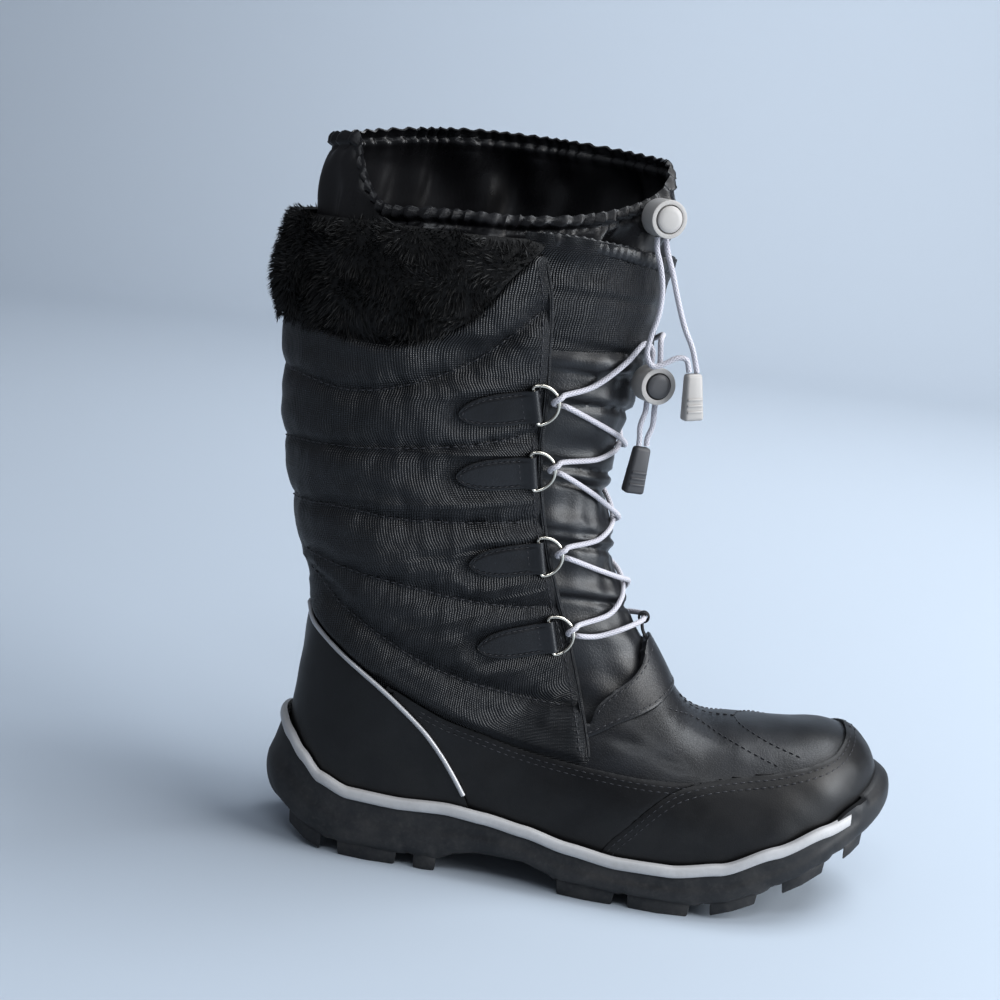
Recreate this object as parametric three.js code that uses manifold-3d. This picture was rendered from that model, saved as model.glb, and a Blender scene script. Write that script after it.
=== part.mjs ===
import * as THREE from 'three';
import { mergeVertices } from 'three/addons/utils/BufferGeometryUtils.js';
import Module from 'manifold-3d';

// Right snow boot, women's EU 39, standing on its tread.
// Millimetres. +X toe, -Y lateral (outer) side, +Y medial side, +Z up. Origin on the heel's flat tread.

const wasm = await Module();
wasm.setup();

// ---- driving dimensions ------------------------------------------------------------------------------
const wallThickness = 3.0;
const fitGap = 0.3;
const overlayThickness = 1.4;
const tongueThickness = 2.0;
const soleCavityOffset = fitGap + overlayThickness + fitGap;
const insoleThickness = 4.0;
const furDepth = 9.0;
const laceRadius = 1.25;
const wireRadius = 0.8;
const ringHalfHeight = 8.7;
const ringDepth = 10.5;
const rollRadius = 2.4;
const sideReach = 80;

// ---- small helpers -----------------------------------------------------------------------------------
function table(columns, rows) {
  return rows.map((row) => Object.fromEntries(columns.map((name, i) => [name, row[i]])));
}

function spline(rows, key, at) {
  const i = Math.min(Math.max(Math.floor(at), 0), rows.length - 2);
  const u = at - i;
  const p1 = rows[i][key];
  const p2 = rows[i + 1][key];
  const p0 = i > 0 ? rows[i - 1][key] : 2 * p1 - p2;
  const p3 = i + 2 < rows.length ? rows[i + 2][key] : 2 * p2 - p1;
  const m1 = (p2 - p0) / 2;
  const m2 = (p3 - p1) / 2;
  const u2 = u * u;
  const u3 = u2 * u;
  return (2 * u3 - 3 * u2 + 1) * p1 + (u3 - 2 * u2 + u) * m1 + (3 * u2 - 2 * u3) * p2 + (u3 - u2) * m2;
}

// height along a row of [x, z] pairs, straight between neighbours
function heightAt(pairs, x) {
  if (x <= pairs[0][0]) return pairs[0][1];
  for (let i = 1; i < pairs.length; i++) {
    if (x <= pairs[i][0]) {
      const u = (x - pairs[i - 1][0]) / (pairs[i][0] - pairs[i - 1][0]);
      const s = u * u * (3 - 2 * u);
      return pairs[i - 1][1] + (pairs[i][1] - pairs[i - 1][1]) * (0.5 * u + 0.5 * s);
    }
  }
  return pairs[pairs.length - 1][1];
}

function solid(geometry) {
  const bare = geometry.clone();
  bare.deleteAttribute('normal');
  bare.deleteAttribute('uv');
  const merged = mergeVertices(bare, 1e-4);
  const position = merged.getAttribute('position').array;
  const source = merged.index.array;
  const kept = [];
  let volume = 0;
  for (let i = 0; i < source.length; i += 3) {
    const [a, b, c] = [source[i], source[i + 1], source[i + 2]];
    if (a === b || b === c || a === c) continue;
    kept.push(a, b, c);
    const [ax, ay, az] = [position[3 * a], position[3 * a + 1], position[3 * a + 2]];
    const [bx, by, bz] = [position[3 * b], position[3 * b + 1], position[3 * b + 2]];
    const [cx, cy, cz] = [position[3 * c], position[3 * c + 1], position[3 * c + 2]];
    volume += ax * (by * cz - bz * cy) + ay * (bz * cx - bx * cz) + az * (bx * cy - by * cx);
  }
  if (volume < 0) {
    for (let i = 0; i < kept.length; i += 3) [kept[i + 1], kept[i + 2]] = [kept[i + 2], kept[i + 1]];
  }
  return new wasm.Manifold(new wasm.Mesh({
    numProp: 3,
    vertProperties: Float32Array.from(position),
    triVerts: Uint32Array.from(kept),
  }));
}

function gridGeometry(rows, closeStart, closeEnd) {
  const around = rows[0].length;
  const position = [];
  const index = [];
  for (const row of rows) for (const p of row) position.push(p.x, p.y, p.z);
  for (let i = 0; i + 1 < rows.length; i++) {
    for (let j = 0; j < around; j++) {
      const k = (j + 1) % around;
      const [a, b, c, d] = [i * around + j, i * around + k, (i + 1) * around + k, (i + 1) * around + j];
      index.push(a, b, c, a, c, d);
    }
  }
  const ladder = (row, turned) => {
    const base = row * around;
    const half = around / 2;
    for (let j = 0; j < half; j++) {
      const [a, b] = [base + j, base + j + 1];
      const [c, d] = [base + (around - j - 1) % around, base + (around - j) % around];
      const faces = j === 0 ? [[a, b, c]] : j === half - 1 ? [[a, b, d]] : [[a, b, c], [a, c, d]];
      for (const f of faces) index.push(...(turned ? [f[0], f[2], f[1]] : f));
    }
  };
  if (closeStart) ladder(0, true);
  if (closeEnd) ladder(rows.length - 1, false);
  const geometry = new THREE.BufferGeometry();
  geometry.setAttribute('position', new THREE.Float32BufferAttribute(position, 3));
  geometry.setIndex(index);
  return geometry;
}

// a region drawn in side view, [x, z] corners, cut right through the boot
function sideRegion(corners, yFrom = -sideReach, yTo = sideReach) {
  const shape = new THREE.Shape(corners.map(([x, z]) => new THREE.Vector2(x, z)));
  const geometry = new THREE.ExtrudeGeometry(shape, { depth: yTo - yFrom, bevelEnabled: false });
  geometry.rotateX(Math.PI / 2);
  geometry.translate(0, yTo, 0);
  return solid(geometry);
}

function smoothLine(points, count) {
  const curve = new THREE.SplineCurve(points.map(([x, z]) => new THREE.Vector2(x, z)));
  return curve.getPoints(count).map((p) => [p.x, p.y]);
}

function tube(points, radius, sides, steps) {
  const curve = new THREE.CatmullRomCurve3(points, false, 'centripetal');
  const section = new THREE.Shape(Array.from({ length: sides }, (_, i) => {
    const a = (2 * Math.PI * i) / sides;
    return new THREE.Vector2(radius * Math.cos(a), radius * Math.sin(a));
  }));
  return new THREE.ExtrudeGeometry(section, { steps, bevelEnabled: false, extrudePath: curve });
}

// ---- the last: sections fanned from the toe, round the instep, to the collar -------------------------
// back/front: ends of each section line in side view; lateral/medial: its widest y on each side;
// widest: where along the line; backRound/frontRound: 2 is an ellipse end, more is squarer
const lastSections = table(
  ['backX', 'backZ', 'frontX', 'frontZ', 'lateral', 'medial', 'widest', 'backRound', 'frontRound', 'cuts'],
  [
    [245.0, 30, 245.5, 58, 8.0, 8.0, 0.40, 4, 2.4, 1],
    [243.5, 29, 244.0, 64, -5.0, 20.0, 0.40, 4, 2.4, 1],
    [239.0, 27, 240.0, 71, -14.5, 27.5, 0.40, 4, 2.4, 1],
    [230.0, 24, 232.0, 78, -26.0, 35.0, 0.40, 4, 2.3, 1],
    [217.0, 18, 219.5, 81.5, -36.5, 41.0, 0.38, 4, 2.2, 1],
    [200.0, 12, 202.0, 81, -44.5, 44.6, 0.36, 4, 2.1, 1],
    [180.0, 9, 182.0, 80, -48.5, 46.0, 0.34, 4, 2.1, 1],
    [160.0, 8, 166.5, 80, -49.5, 45.8, 0.34, 4, 2.1, 1],
    [135.0, 8, 157.5, 82.5, -48.3, 43.6, 0.35, 4, 2.1, 1],
    [108.0, 10, 151.5, 87, -45.5, 40.2, 0.37, 4, 2.1, 2],
    [76.0, 13, 147.0, 92.5, -41.3, 37.2, 0.40, 4, 2.1, 2],
    [42.0, 15, 143.0, 99, -38.2, 35.6, 0.42, 4, 2.1, 2],
    [8.0, 17, 138.5, 106, -36.6, 35.0, 0.44, 3.6, 2.1, 2],
    [-16.0, 20, 133.5, 113, -36.2, 35.0, 0.46, 3.0, 2.1, 1],
    [-24.5, 36, 128.5, 120, -36.4, 35.4, 0.47, 2.6, 2.1, 1],
    [-26.0, 55, 124.0, 127.5, -36.6, 36.0, 0.48, 2.4, 2.1, 1],
    [-24.6, 75, 120.0, 136, -37.0, 36.6, 0.48, 2.3, 2.1, 1],
    [-22.6, 96, 117.0, 145.5, -37.5, 37.3, 0.49, 2.2, 2.1, 1],
    [-21.8, 116, 114.0, 156, -38.2, 38.1, 0.50, 2.2, 2.1, 1],
    [-27.5, 134, 111.5, 167, -39.4, 39.4, 0.50, 2.2, 2.1, 1],
    [-33.6, 155, 109.5, 179, -40.8, 40.8, 0.50, 2.2, 2.1, 1],
    [-39.5, 180, 109.5, 194, -42.8, 42.8, 0.50, 2.2, 2.1, 1],
    [-43.0, 205, 114.0, 214, -44.6, 44.6, 0.50, 2.2, 2.1, 1],
    [-44.5, 230, 119.5, 235, -45.8, 45.8, 0.50, 2.2, 2.1, 1],
    [-45.0, 252, 123.0, 254, -46.4, 46.4, 0.50, 2.2, 2.1, 1],
    [-44.5, 276, 126.0, 276, -46.6, 46.6, 0.50, 2.2, 2.1, 1],
    [-43.0, 300, 128.5, 298, -46.4, 46.4, 0.50, 2.2, 2.1, 1],
    [-42.0, 318, 130.0, 316, -46.2, 46.2, 0.50, 2.2, 2.1, 0],
  ],
);

function formPoint(at, angle) {
  const get = (key) => spline(lastSections, key, at);
  const widest = get('widest');
  const cosine = Math.cos(angle);
  const sine = Math.sin(angle);
  const front = cosine > 0;
  const power = 2 / get(front ? 'frontRound' : 'backRound');
  const along = front
    ? widest + (1 - widest) * Math.abs(cosine) ** power
    : widest - widest * Math.abs(cosine) ** power;
  const spread = Math.abs(sine) ** power;
  const middle = (get('lateral') + get('medial')) / 2;
  const half = (get('medial') - get('lateral')) / 2;
  return new THREE.Vector3(
    get('backX') + (get('frontX') - get('backX')) * along,
    middle - Math.sign(sine) * half * spread,
    get('backZ') + (get('frontZ') - get('backZ')) * along,
  );
}

function formNormal(at, angle) {
  const e = 0.02;
  const top = Math.min(at + e, lastSections.length - 1);
  const alongForm = formPoint(top, angle).sub(formPoint(Math.max(at - e, 0.02), angle));
  const round = formPoint(at, angle + e).sub(formPoint(at, angle - e));
  return alongForm.cross(round).normalize();
}

// rows of the last that a form uses; a coarse form, for inner faces, skips rows on its straight stretches
const straightRows = [13, 15, 23, 25];
function formStations(coarse) {
  const stations = [];
  const last = lastSections.length - 1;
  lastSections.forEach((row, i) => {
    if (i === last) stations.push(i);
    else if (coarse && straightRows.includes(i)) return;
    else for (let c = 0; c < row.cuts; c++) stations.push(i + c / row.cuts);
  });
  return stations;
}

function formAngles(count) {
  return Array.from({ length: count }, (_, j) => (2 * Math.PI * j) / count);
}

// the last grown or shrunk along its own normals
function form(offset, around = 24, coarse = false) {
  const stations = formStations(coarse);
  const rows = stations.map((at) => formAngles(around).map((angle) => formPoint(at, angle)));
  const geometry = gridGeometry(rows, false, true);
  const merged = mergeVertices(geometry, 1e-4);
  merged.computeVertexNormals();
  const position = merged.getAttribute('position');
  const normal = merged.getAttribute('normal');
  const p = new THREE.Vector3();
  const n = new THREE.Vector3();
  const probe = formPoint(22, Math.PI / 2);
  const probeOut = new THREE.Vector3(0, -1, 0);
  let nearest = Infinity;
  let facing = 1;
  for (let i = 0; i < position.count; i++) {
    p.fromBufferAttribute(position, i);
    n.fromBufferAttribute(normal, i);
    const d = p.distanceTo(probe);
    if (d < nearest) {
      nearest = d;
      facing = Math.sign(n.dot(probeOut));
    }
  }
  for (let i = 0; i < position.count; i++) {
    p.fromBufferAttribute(position, i);
    n.fromBufferAttribute(normal, i);
    const d = typeof offset === 'function' ? offset(p) : offset;
    p.addScaledVector(n, facing * d);
    position.setXYZ(i, p.x, p.y, p.z);
  }
  return solid(merged);
}

// point of the last seen from the side at (x, z): station and angle on the lateral half
function findOnSide(x, z) {
  let low = 0;
  let high = lastSections.length - 1;
  const side = (at) => {
    const bx = spline(lastSections, 'backX', at);
    const bz = spline(lastSections, 'backZ', at);
    const fx = spline(lastSections, 'frontX', at);
    const fz = spline(lastSections, 'frontZ', at);
    return (fx - bx) * (z - bz) - (fz - bz) * (x - bx);
  };
  for (let i = 0; i < 40; i++) {
    const mid = (low + high) / 2;
    if (side(mid) > 0) low = mid;
    else high = mid;
  }
  const at = low;
  const bx = spline(lastSections, 'backX', at);
  const fx = spline(lastSections, 'frontX', at);
  const bz = spline(lastSections, 'backZ', at);
  const fz = spline(lastSections, 'frontZ', at);
  const along = ((x - bx) * (fx - bx) + (z - bz) * (fz - bz)) / ((fx - bx) ** 2 + (fz - bz) ** 2);
  const widest = spline(lastSections, 'widest', at);
  const front = along > widest;
  const n = spline(lastSections, front ? 'frontRound' : 'backRound', at);
  const u = Math.min(Math.max(front ? (along - widest) / (1 - widest) : (along - widest) / widest, -1), 1);
  const cosine = Math.sign(u) * Math.abs(u) ** (n / 2);
  return { at, angle: Math.acos(cosine) };
}

// point at a height on the front of the shaft, angle from the front middle (positive is lateral)
function findAtHeight(z, angle) {
  let low = 10;
  let high = lastSections.length - 1;
  for (let i = 0; i < 40; i++) {
    const mid = (low + high) / 2;
    if (formPoint(mid, angle).z < z) low = mid;
    else high = mid;
  }
  return low;
}

function outFrom(at, angle, offset) {
  return formPoint(at, angle).addScaledVector(formNormal(at, angle), offset);
}

// ---- sole: plan outline and the heights that run along it --------------------------------------------
const solePlan = table(['x', 'lateral', 'medial', 'cuts'], [
  [-32, 0, 0, 1],
  [-30.2, -9.5, 9.5, 1],
  [-25.2, -19.5, 19.5, 1],
  [-15, -29, 28.5, 1],
  [0, -35.3, 34.2, 1],
  [22, -38.6, 37.2, 1],
  [48, -40.6, 38.8, 1],
  [76, -43.8, 40.8, 1],
  [105, -48.2, 43.8, 1],
  [134, -52.6, 47.6, 1],
  [160, -54.3, 50.0, 1],
  [185, -52.8, 50.2, 1],
  [206, -47.8, 48.3, 1],
  [222, -40.2, 44.5, 1],
  [235, -29.5, 38, 1],
  [244, -16.5, 30, 1],
  [249.3, -4, 20, 1],
  [251, 8, 8, 0],
]);

const floorLine = [[-35, 24], [0, 24], [50, 23], [90, 20], [120, 15.5], [160, 14.5], [185, 17], [210, 25],
  [230, 34], [250, 42]];
const bandTop = [[-31, 58], [-25, 53], [-17, 46], [-8, 38.5], [6, 34], [30, 33], [52, 34], [70, 32.5], [88, 30],
  [108, 26], [130, 23.5], [155, 23.8], [177, 27.5], [200, 37], [222, 46.5], [236, 51.5], [252, 56]];
const bandHeight = 5.2;
const carcassLine = [[-36, 20], [-24, 14.5], [-12, 9.5], [0, 6.5], [20, 6], [51, 6.5], [58, 10.5], [68, 12.5],
  [88, 12.5], [99, 9.5], [105, 6.5], [137, 6], [166, 6], [180, 8.5], [194, 13.5], [208, 20], [222, 27],
  [240, 37], [254, 45]];
const lugLine = [[-30, 11.5], [-22, 7.5], [-12, 3], [-4, 0], [168, 0], [176, 1.8], [188, 6], [200, 11.3], [214, 18],
  [228, 25], [240, 32], [250, 38]];

function planRow(shift, level) {
  const lateralSide = [];
  const medialSide = [];
  const last = solePlan.length - 1;
  const at = (u) => ({
    x: spline(solePlan, 'x', u),
    lateral: spline(solePlan, 'lateral', u),
    medial: spline(solePlan, 'medial', u),
  });
  const stations = [];
  solePlan.forEach((row, i) => {
    for (let c = 0; c < row.cuts; c++) stations.push(i + c / row.cuts);
  });
  for (const u of stations.slice(1)) {
    const here = at(u);
    const before = at(Math.max(u - 0.05, 0));
    const after = at(Math.min(u + 0.05, last));
    const d = typeof shift === 'function' ? shift(here.x) : shift;
    for (const [key, list, side] of [['lateral', lateralSide, -1], ['medial', medialSide, 1]]) {
      const tx = after.x - before.x;
      const ty = after[key] - before[key];
      const length = Math.hypot(tx, ty);
      const x = here.x - (side * ty * d) / length;
      const y = here[key] + (side * tx * d) / length;
      list.push(new THREE.Vector3(x, y, level(here.x)));
    }
  }
  const d0 = typeof shift === 'function' ? shift(solePlan[0].x) : shift;
  const d1 = typeof shift === 'function' ? shift(solePlan[last].x) : shift;
  const heel = new THREE.Vector3(solePlan[0].x - d0, 0, level(solePlan[0].x));
  const toe = new THREE.Vector3(solePlan[last].x + d1, solePlan[last].medial, level(solePlan[last].x));
  return [heel, ...lateralSide, toe, ...medialSide.reverse()];
}

function planBlock(levels) {
  return solid(gridGeometry(levels.map(([shift, level]) => planRow(shift, level)), true, true));
}

function planPolygon(points, low, high) {
  const contour = points.map(([x, y]) => new THREE.Vector2(x, y));
  const shape = new THREE.Shape(contour);
  const geometry = new THREE.ExtrudeGeometry(shape, { depth: 1, bevelEnabled: false });
  const position = geometry.getAttribute('position');
  for (let i = 0; i < position.count; i++) {
    const x = position.getX(i);
    position.setZ(i, position.getZ(i) < 0.5 ? low(x) : high(x));
  }
  return solid(geometry);
}

const floorAt = (x) => heightAt(floorLine, x);
const bandTopAt = (x) => heightAt(bandTop, x);
const bandLowAt = (x) => bandTopAt(x) - bandHeight;
const carcassAt = (x) => heightAt(carcassLine, x);
const lugAt = (x) => heightAt(lugLine, x);
const bandEnd = 233;
const bumperRise = [[215, -bandHeight], [bandEnd - 2, 1.5], [244, 4], [252, 6.5]];
const outsoleTopAt = (x) => bandTopAt(x) + (x < 215 ? -bandHeight : heightAt(bumperRise, x));

// everything above the footbed line, used to cut pieces off at the sole
function aboveFloor(raise, top = 400) {
  const low = floorLine.map(([x]) => [x, floorAt(x) + raise]);
  return sideRegion([[-90, low[0][1]], ...low, [300, low[low.length - 1][1]], [300, top], [-90, top]]);
}

const formOuter = form(0);
const formOverlayIn = form(fitGap);
const formOverlayOut = form(fitGap + overlayThickness);
const formCavity = form(soleCavityOffset);
const formInner = form(-wallThickness, 20, true);
const formTuck = form(-wallThickness - fitGap, 20, true);

const cavity = formCavity.intersect(aboveFloor(0));

function mainBody(shape) {
  return shape.decompose().reduce((best, body) => (body.volume() > best.volume() ? body : best));
}

// ---- outsole ----------------------------------------------------------------------------------------
const heelFlare = (x) => (x < 0 ? 4.6 * Math.min(1, (-x / 28) ** 2) : 0);
const toeFlare = (x) => (x > 232 ? 2.0 * Math.min(1, (x - 232) / 14) : 0);
const sidewall = (part) => (x) => {
  const low = carcassAt(x);
  return low + (outsoleTopAt(x) - low) * part;
};
let outsole = planBlock([
  [(x) => -2.2 + heelFlare(x) * 0.35, carcassAt],
  [(x) => 0.2 + heelFlare(x) * 0.9 + toeFlare(x) * 0.4, sidewall(0.16)],
  [(x) => 1.0 + heelFlare(x) + toeFlare(x), sidewall(0.42)],
  [(x) => 0.7 + heelFlare(x) * 0.35 + toeFlare(x) * 0.7, sidewall(0.8)],
  [(x) => 0.3 - (x > 240 ? 2.5 : 0), sidewall(1)],
]);
const bandSeat = bandTop.filter(([x]) => x < bandEnd - 4).map(([x]) => [x, bandLowAt(x)]);
outsole = outsole.subtract(sideRegion([[-80, 90], [-80, bandSeat[0][1]], ...bandSeat,
  [bandEnd, bandLowAt(bandEnd)], [bandEnd + 1.5, 90]]));

// tread lugs: two edge rows and a middle row
const edgeLugs = table(['from', 'to', 'depth'], [
  [-23, -3, 15],
  [2, 33, 13],
  [38, 51, 15],
  [104, 133, 15],
  [136, 167, 15],
  [173, 196, 16],
  [204, 225, 16],
  [231, 242, 12],
]);
const planAt = (x) => {
  let low = 0;
  let high = solePlan.length - 1;
  for (let i = 0; i < 30; i++) {
    const mid = (low + high) / 2;
    if (spline(solePlan, 'x', mid) < x) low = mid;
    else high = mid;
  }
  return { lateral: spline(solePlan, 'lateral', low), medial: spline(solePlan, 'medial', low) };
};
const lugTop = (x) => carcassAt(x) + 1.5;
for (const lug of edgeLugs) {
  for (const side of ['lateral', 'medial']) {
    const sign = side === 'lateral' ? -1 : 1;
    const edge = (x, inset) => [x, planAt(x)[side] - sign * inset];
    const mid = (lug.from + lug.to) / 2;
    outsole = outsole.add(planPolygon([
      edge(lug.from + 1, 3.2),
      edge(mid, 2.6),
      edge(lug.to - 1, 3.2),
      edge(lug.to - 3, lug.depth),
      edge(lug.from + 3, lug.depth),
    ], lugAt, lugTop));
  }
}
const middleLugs = table(['x', 'y', 'long', 'wide'], [
  [-12, 0, 12, 14],
  [8, 0, 22, 20],
  [33, 0, 20, 20],
  [114, -2, 20, 30],
  [142, -2, 24, 34],
  [172, -1, 24, 32],
  [200, 1, 20, 30],
  [224, 5, 16, 22],
]);
for (const lug of middleLugs) {
  const [l, w] = [lug.long / 2, lug.wide / 2];
  outsole = outsole.add(planPolygon([
    [lug.x - l, lug.y],
    [lug.x - l * 0.55, lug.y - w],
    [lug.x + l * 0.55, lug.y - w],
    [lug.x + l, lug.y],
    [lug.x + l * 0.55, lug.y + w],
    [lug.x - l * 0.55, lug.y + w],
  ], lugAt, lugTop));
}

outsole = mainBody(outsole.subtract(cavity));

// ---- midsole band -----------------------------------------------------------------------------------
const bandFoot = bandSeat.map(([x, z]) => [x, z + fitGap]);
const bandRegion = sideRegion([[-80, 90], [-80, bandFoot[0][1]], ...bandFoot,
  [bandEnd - fitGap, bandLowAt(bandEnd) + fitGap], [bandEnd + 1.2, 90]]);
const midsoleBand = planBlock([
  [0, (x) => bandLowAt(x) - 1],
  [0.2, (x) => bandLowAt(x) + bandHeight * 0.5],
  [-1.6, bandTopAt],
]).subtract(cavity).intersect(bandRegion);

// ---- upper ------------------------------------------------------------------------------------------
const quarterFront = smoothLine([[69, 300], [69, 286], [74, 265], [75.5, 243], [76.5, 222], [76.5, 200],
  [79, 178], [85, 152], [91, 134], [97, 117], [103, 99], [108, 83], [112, 77.5]], 26);
const throatBase = smoothLine([[112, 77.5], [114, 85], [121, 92], [128, 97.5], [132, 103.5], [133.5, 110],
  [134.5, 118], [160, 122]], 16);
const throat = sideRegion([[69, 400], ...quarterFront, ...throatBase.slice(1), [200, 130], [200, 400]]);
const collarTop = [[-90, 281], [40, 281], [60, 283], [69, 286], [90, 286], [90, 400], [-90, 400]];
const upper = formOuter
  .subtract(formInner)
  .intersect(aboveFloor(fitGap))
  .subtract(throat)
  .subtract(sideRegion(collarTop));

// ---- tongue -----------------------------------------------------------------------------------------
const tongueBack = quarterFront.filter(([, z]) => z > 90).map(([x, z]) => [x - 9, Math.min(z, 300)]);
const tongueRegion = sideRegion([[62, 289], ...tongueBack.filter(([, z]) => z < 288), [100, 84], [112, 76],
  [128, 86], [139, 96], [146, 104], [150, 112], [170, 120], [170, 286], [126, 286], [104, 291], [84, 293.5]]);
const tongue = formTuck
  .subtract(form(-wallThickness - fitGap - tongueThickness, 20, true))
  .intersect(tongueRegion);

// ---- insole -----------------------------------------------------------------------------------------
const insole = formTuck
  .intersect(aboveFloor(fitGap))
  .subtract(aboveFloor(fitGap + insoleThickness));

// ---- overlays ---------------------------------------------------------------------------------------
const overlaySkin = formOverlayOut.subtract(formOverlayIn).intersect(aboveFloor(fitGap * 2));
const counterEdge = smoothLine([[-60, 112], [-27, 110.5], [-15, 103], [0, 93.5], [17, 83], [38, 66], [52, 49],
  [62, 33], [66, 15]], 16);
const counterRegion = [...counterEdge, [66, -20], [-60, -20]];
const heelCounter = overlaySkin.intersect(sideRegion(counterRegion));
const capEdge = smoothLine([[118, 10], [125, 26], [134, 37], [143, 47], [153, 55], [166, 60], [180, 63], [198, 66],
  [214, 70], [225, 75], [231, 84], [232, 100]], 20);
const capRegion = [...capEdge, [300, 100], [300, -20], [118, -20]];
const toeCap = overlaySkin.intersect(sideRegion(capRegion));
const randTop = smoothLine([[16, 86], [24, 82.5], [45, 73], [62, 68], [82, 63], [104, 60], [130, 58.5], [148, 58.5],
  [162, 59.5], [176, 63]], 14);
const randRegion = sideRegion([...randTop, [180, -20], [16, -20]])
  .subtract(sideRegion(counterEdge.map(([x, z]) => [x + 0.4, z + 0.3]).concat([[66.4, -30], [-60, -30]])))
  .subtract(sideRegion(capEdge.map(([x, z]) => [x - 0.4, z + 0.3]).concat([[300, 100], [300, -30], [117.6, -30]])));
const randSkin = overlaySkin.intersect(randRegion);
const lateralHalf = sideRegion([[-100, -50], [320, -50], [320, 400], [-100, 400]], -sideReach, -1);
const medialHalf = sideRegion([[-100, -50], [320, -50], [320, 400], [-100, 400]], 1, sideReach);
const randLateral = mainBody(randSkin.intersect(lateralHalf));
const randMedial = mainBody(randSkin.intersect(medialHalf));

// ---- fur collar -------------------------------------------------------------------------------------
const furLow = smoothLine([[-80, 243], [-35, 242], [-1, 237], [19, 241], [36, 249], [48, 261], [55, 271], [64, 281],
  [69.5, 287]], 14);
const furTop = [[69.5, 287], [60, 289], [40, 288.5], [0, 289], [-30, 288], [-80, 287]];
const furMiddle = 264;
const furHalf = 24.5;
const furBulge = (p) => {
  const u = Math.min(Math.abs(p.z - furMiddle) / furHalf, 1);
  const fade = Math.min(Math.max((74 - p.x) / 22, 0), 1);
  return fitGap + 2 + (furDepth - 2.3) * Math.sqrt(1 - u * u) * Math.sqrt(fade);
};
const furCollar = form(furBulge)
  .subtract(formOverlayIn)
  .intersect(sideRegion([...furLow, ...furTop.slice(1)]));

// ---- snow cuff --------------------------------------------------------------------------------------
const cuffLevels = table(['z', 'back', 'front', 'lateral', 'medial'], [
  [262, -38.0, 116.5, -39.0, 39.0],
  [276, -38.0, 118.6, -39.2, 39.2],
  [290, -37.6, 119.6, -38.6, 38.6],
  [300, -37.0, 123.6, -37.0, 39.0],
  [312, -35.5, 123.0, -33.0, 38.0],
  [322, -32.5, 118.0, -29.0, 34.0],
  [331, -28.0, 112.0, -25.0, 29.0],
]);
const rimDrop = (angle) => {
  const side = Math.sin(angle);
  const frontness = Math.cos(angle);
  const lateral = Math.max(side, 0);
  const eased = Math.min(Math.max((lateral - 0.55) / 0.33, 0), 1);
  const sag = frontness < 0 ? eased * eased * (3 - 2 * eased) : lateral ** 1.2;
  return 33 * sag + 8 * Math.max(-frontness, 0) ** 2 + 4 * Math.max(frontness, 0) ** 2;
};
function cuffPoint(part, angle, inset) {
  const top = cuffLevels[cuffLevels.length - 1].z;
  const bottom = cuffLevels[0].z;
  const z = bottom + (top - rimDrop(angle) - bottom) * part;
  let i = 0;
  while (i < cuffLevels.length - 2 && cuffLevels[i + 1].z < z) i++;
  const at = i + (z - cuffLevels[i].z) / (cuffLevels[i + 1].z - cuffLevels[i].z);
  const get = (key) => spline(cuffLevels, key, at);
  const middleX = (get('back') + get('front')) / 2;
  const halfX = (get('front') - get('back')) / 2 - inset;
  const middleY = (get('lateral') + get('medial')) / 2;
  const halfY = (get('medial') - get('lateral')) / 2 - inset;
  return new THREE.Vector3(
    middleX + halfX * Math.sign(Math.cos(angle)) * Math.abs(Math.cos(angle)) ** 0.93,
    middleY - halfY * Math.sign(Math.sin(angle)) * Math.abs(Math.sin(angle)) ** 0.93,
    z,
  );
}
const cuffWall = 1.4;
const cuffAngles = formAngles(28);
const cuffParts = [0, 0.4, 0.65, 0.85, 1];
const cuffSkin = (inset) => cuffParts.map((part) => cuffAngles.map((angle) => cuffPoint(part, angle, inset)));
const cuffRows = [...cuffSkin(0), ...cuffSkin(cuffWall).reverse()];
const snowCuff = solid(gridGeometry([...cuffRows, cuffRows[0]], false, false));

// ---- eyelet hardware --------------------------------------------------------------------------------
// roll: middle of the rolled end that holds the ring's bar; tip: the leather patch's rounded end
const eyelets = table(['rollX', 'rollZ', 'tipX', 'tipZ'], [
  [71, 219.5, 39.5, 212],
  [72.5, 190, 41, 184.5],
  [80, 151.5, 50.5, 145.5],
  [89, 115.5, 58, 107.5],
]);
const sides = table(['name', 'sign'], [['lateral', 1], ['medial', -1]]);

function onForm(x, z, sign, offset) {
  const { at, angle } = findOnSide(x, z);
  return outFrom(at, sign * angle, offset);
}

function normalAt(x, z, sign) {
  const { at, angle } = findOnSide(x, z);
  return formNormal(at, sign * angle);
}

function eyeletFrame(eyelet, sign) {
  const out = normalAt(eyelet.rollX, eyelet.rollZ, sign);
  const forward = onForm(eyelet.rollX, eyelet.rollZ, sign, 0)
    .sub(onForm(eyelet.tipX, eyelet.tipZ, sign, 0));
  forward.addScaledVector(out, -forward.dot(out)).normalize();
  const up = new THREE.Vector3().crossVectors(out, forward);
  if (up.z < 0) up.negate();
  const origin = onForm(eyelet.rollX, eyelet.rollZ, sign, fitGap + rollRadius);
  return { origin, forward, up, out };
}

function inFrame(frame, forward, up, out = 0) {
  return frame.origin.clone()
    .addScaledVector(frame.forward, forward)
    .addScaledVector(frame.up, up)
    .addScaledVector(frame.out, out);
}

function bar(from, to, radius, count) {
  const axis = to.clone().sub(from).normalize();
  const across = new THREE.Vector3().crossVectors(axis, new THREE.Vector3(0.3, 0.9, 0.2)).normalize();
  const other = new THREE.Vector3().crossVectors(axis, across);
  const circle = (middle) => Array.from({ length: count }, (_, i) => {
    const a = (2 * Math.PI * i) / count;
    return middle.clone()
      .addScaledVector(across, radius * Math.cos(a))
      .addScaledVector(other, radius * Math.sin(a));
  });
  return solid(gridGeometry([circle(from), circle(to)], true, true));
}

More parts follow.
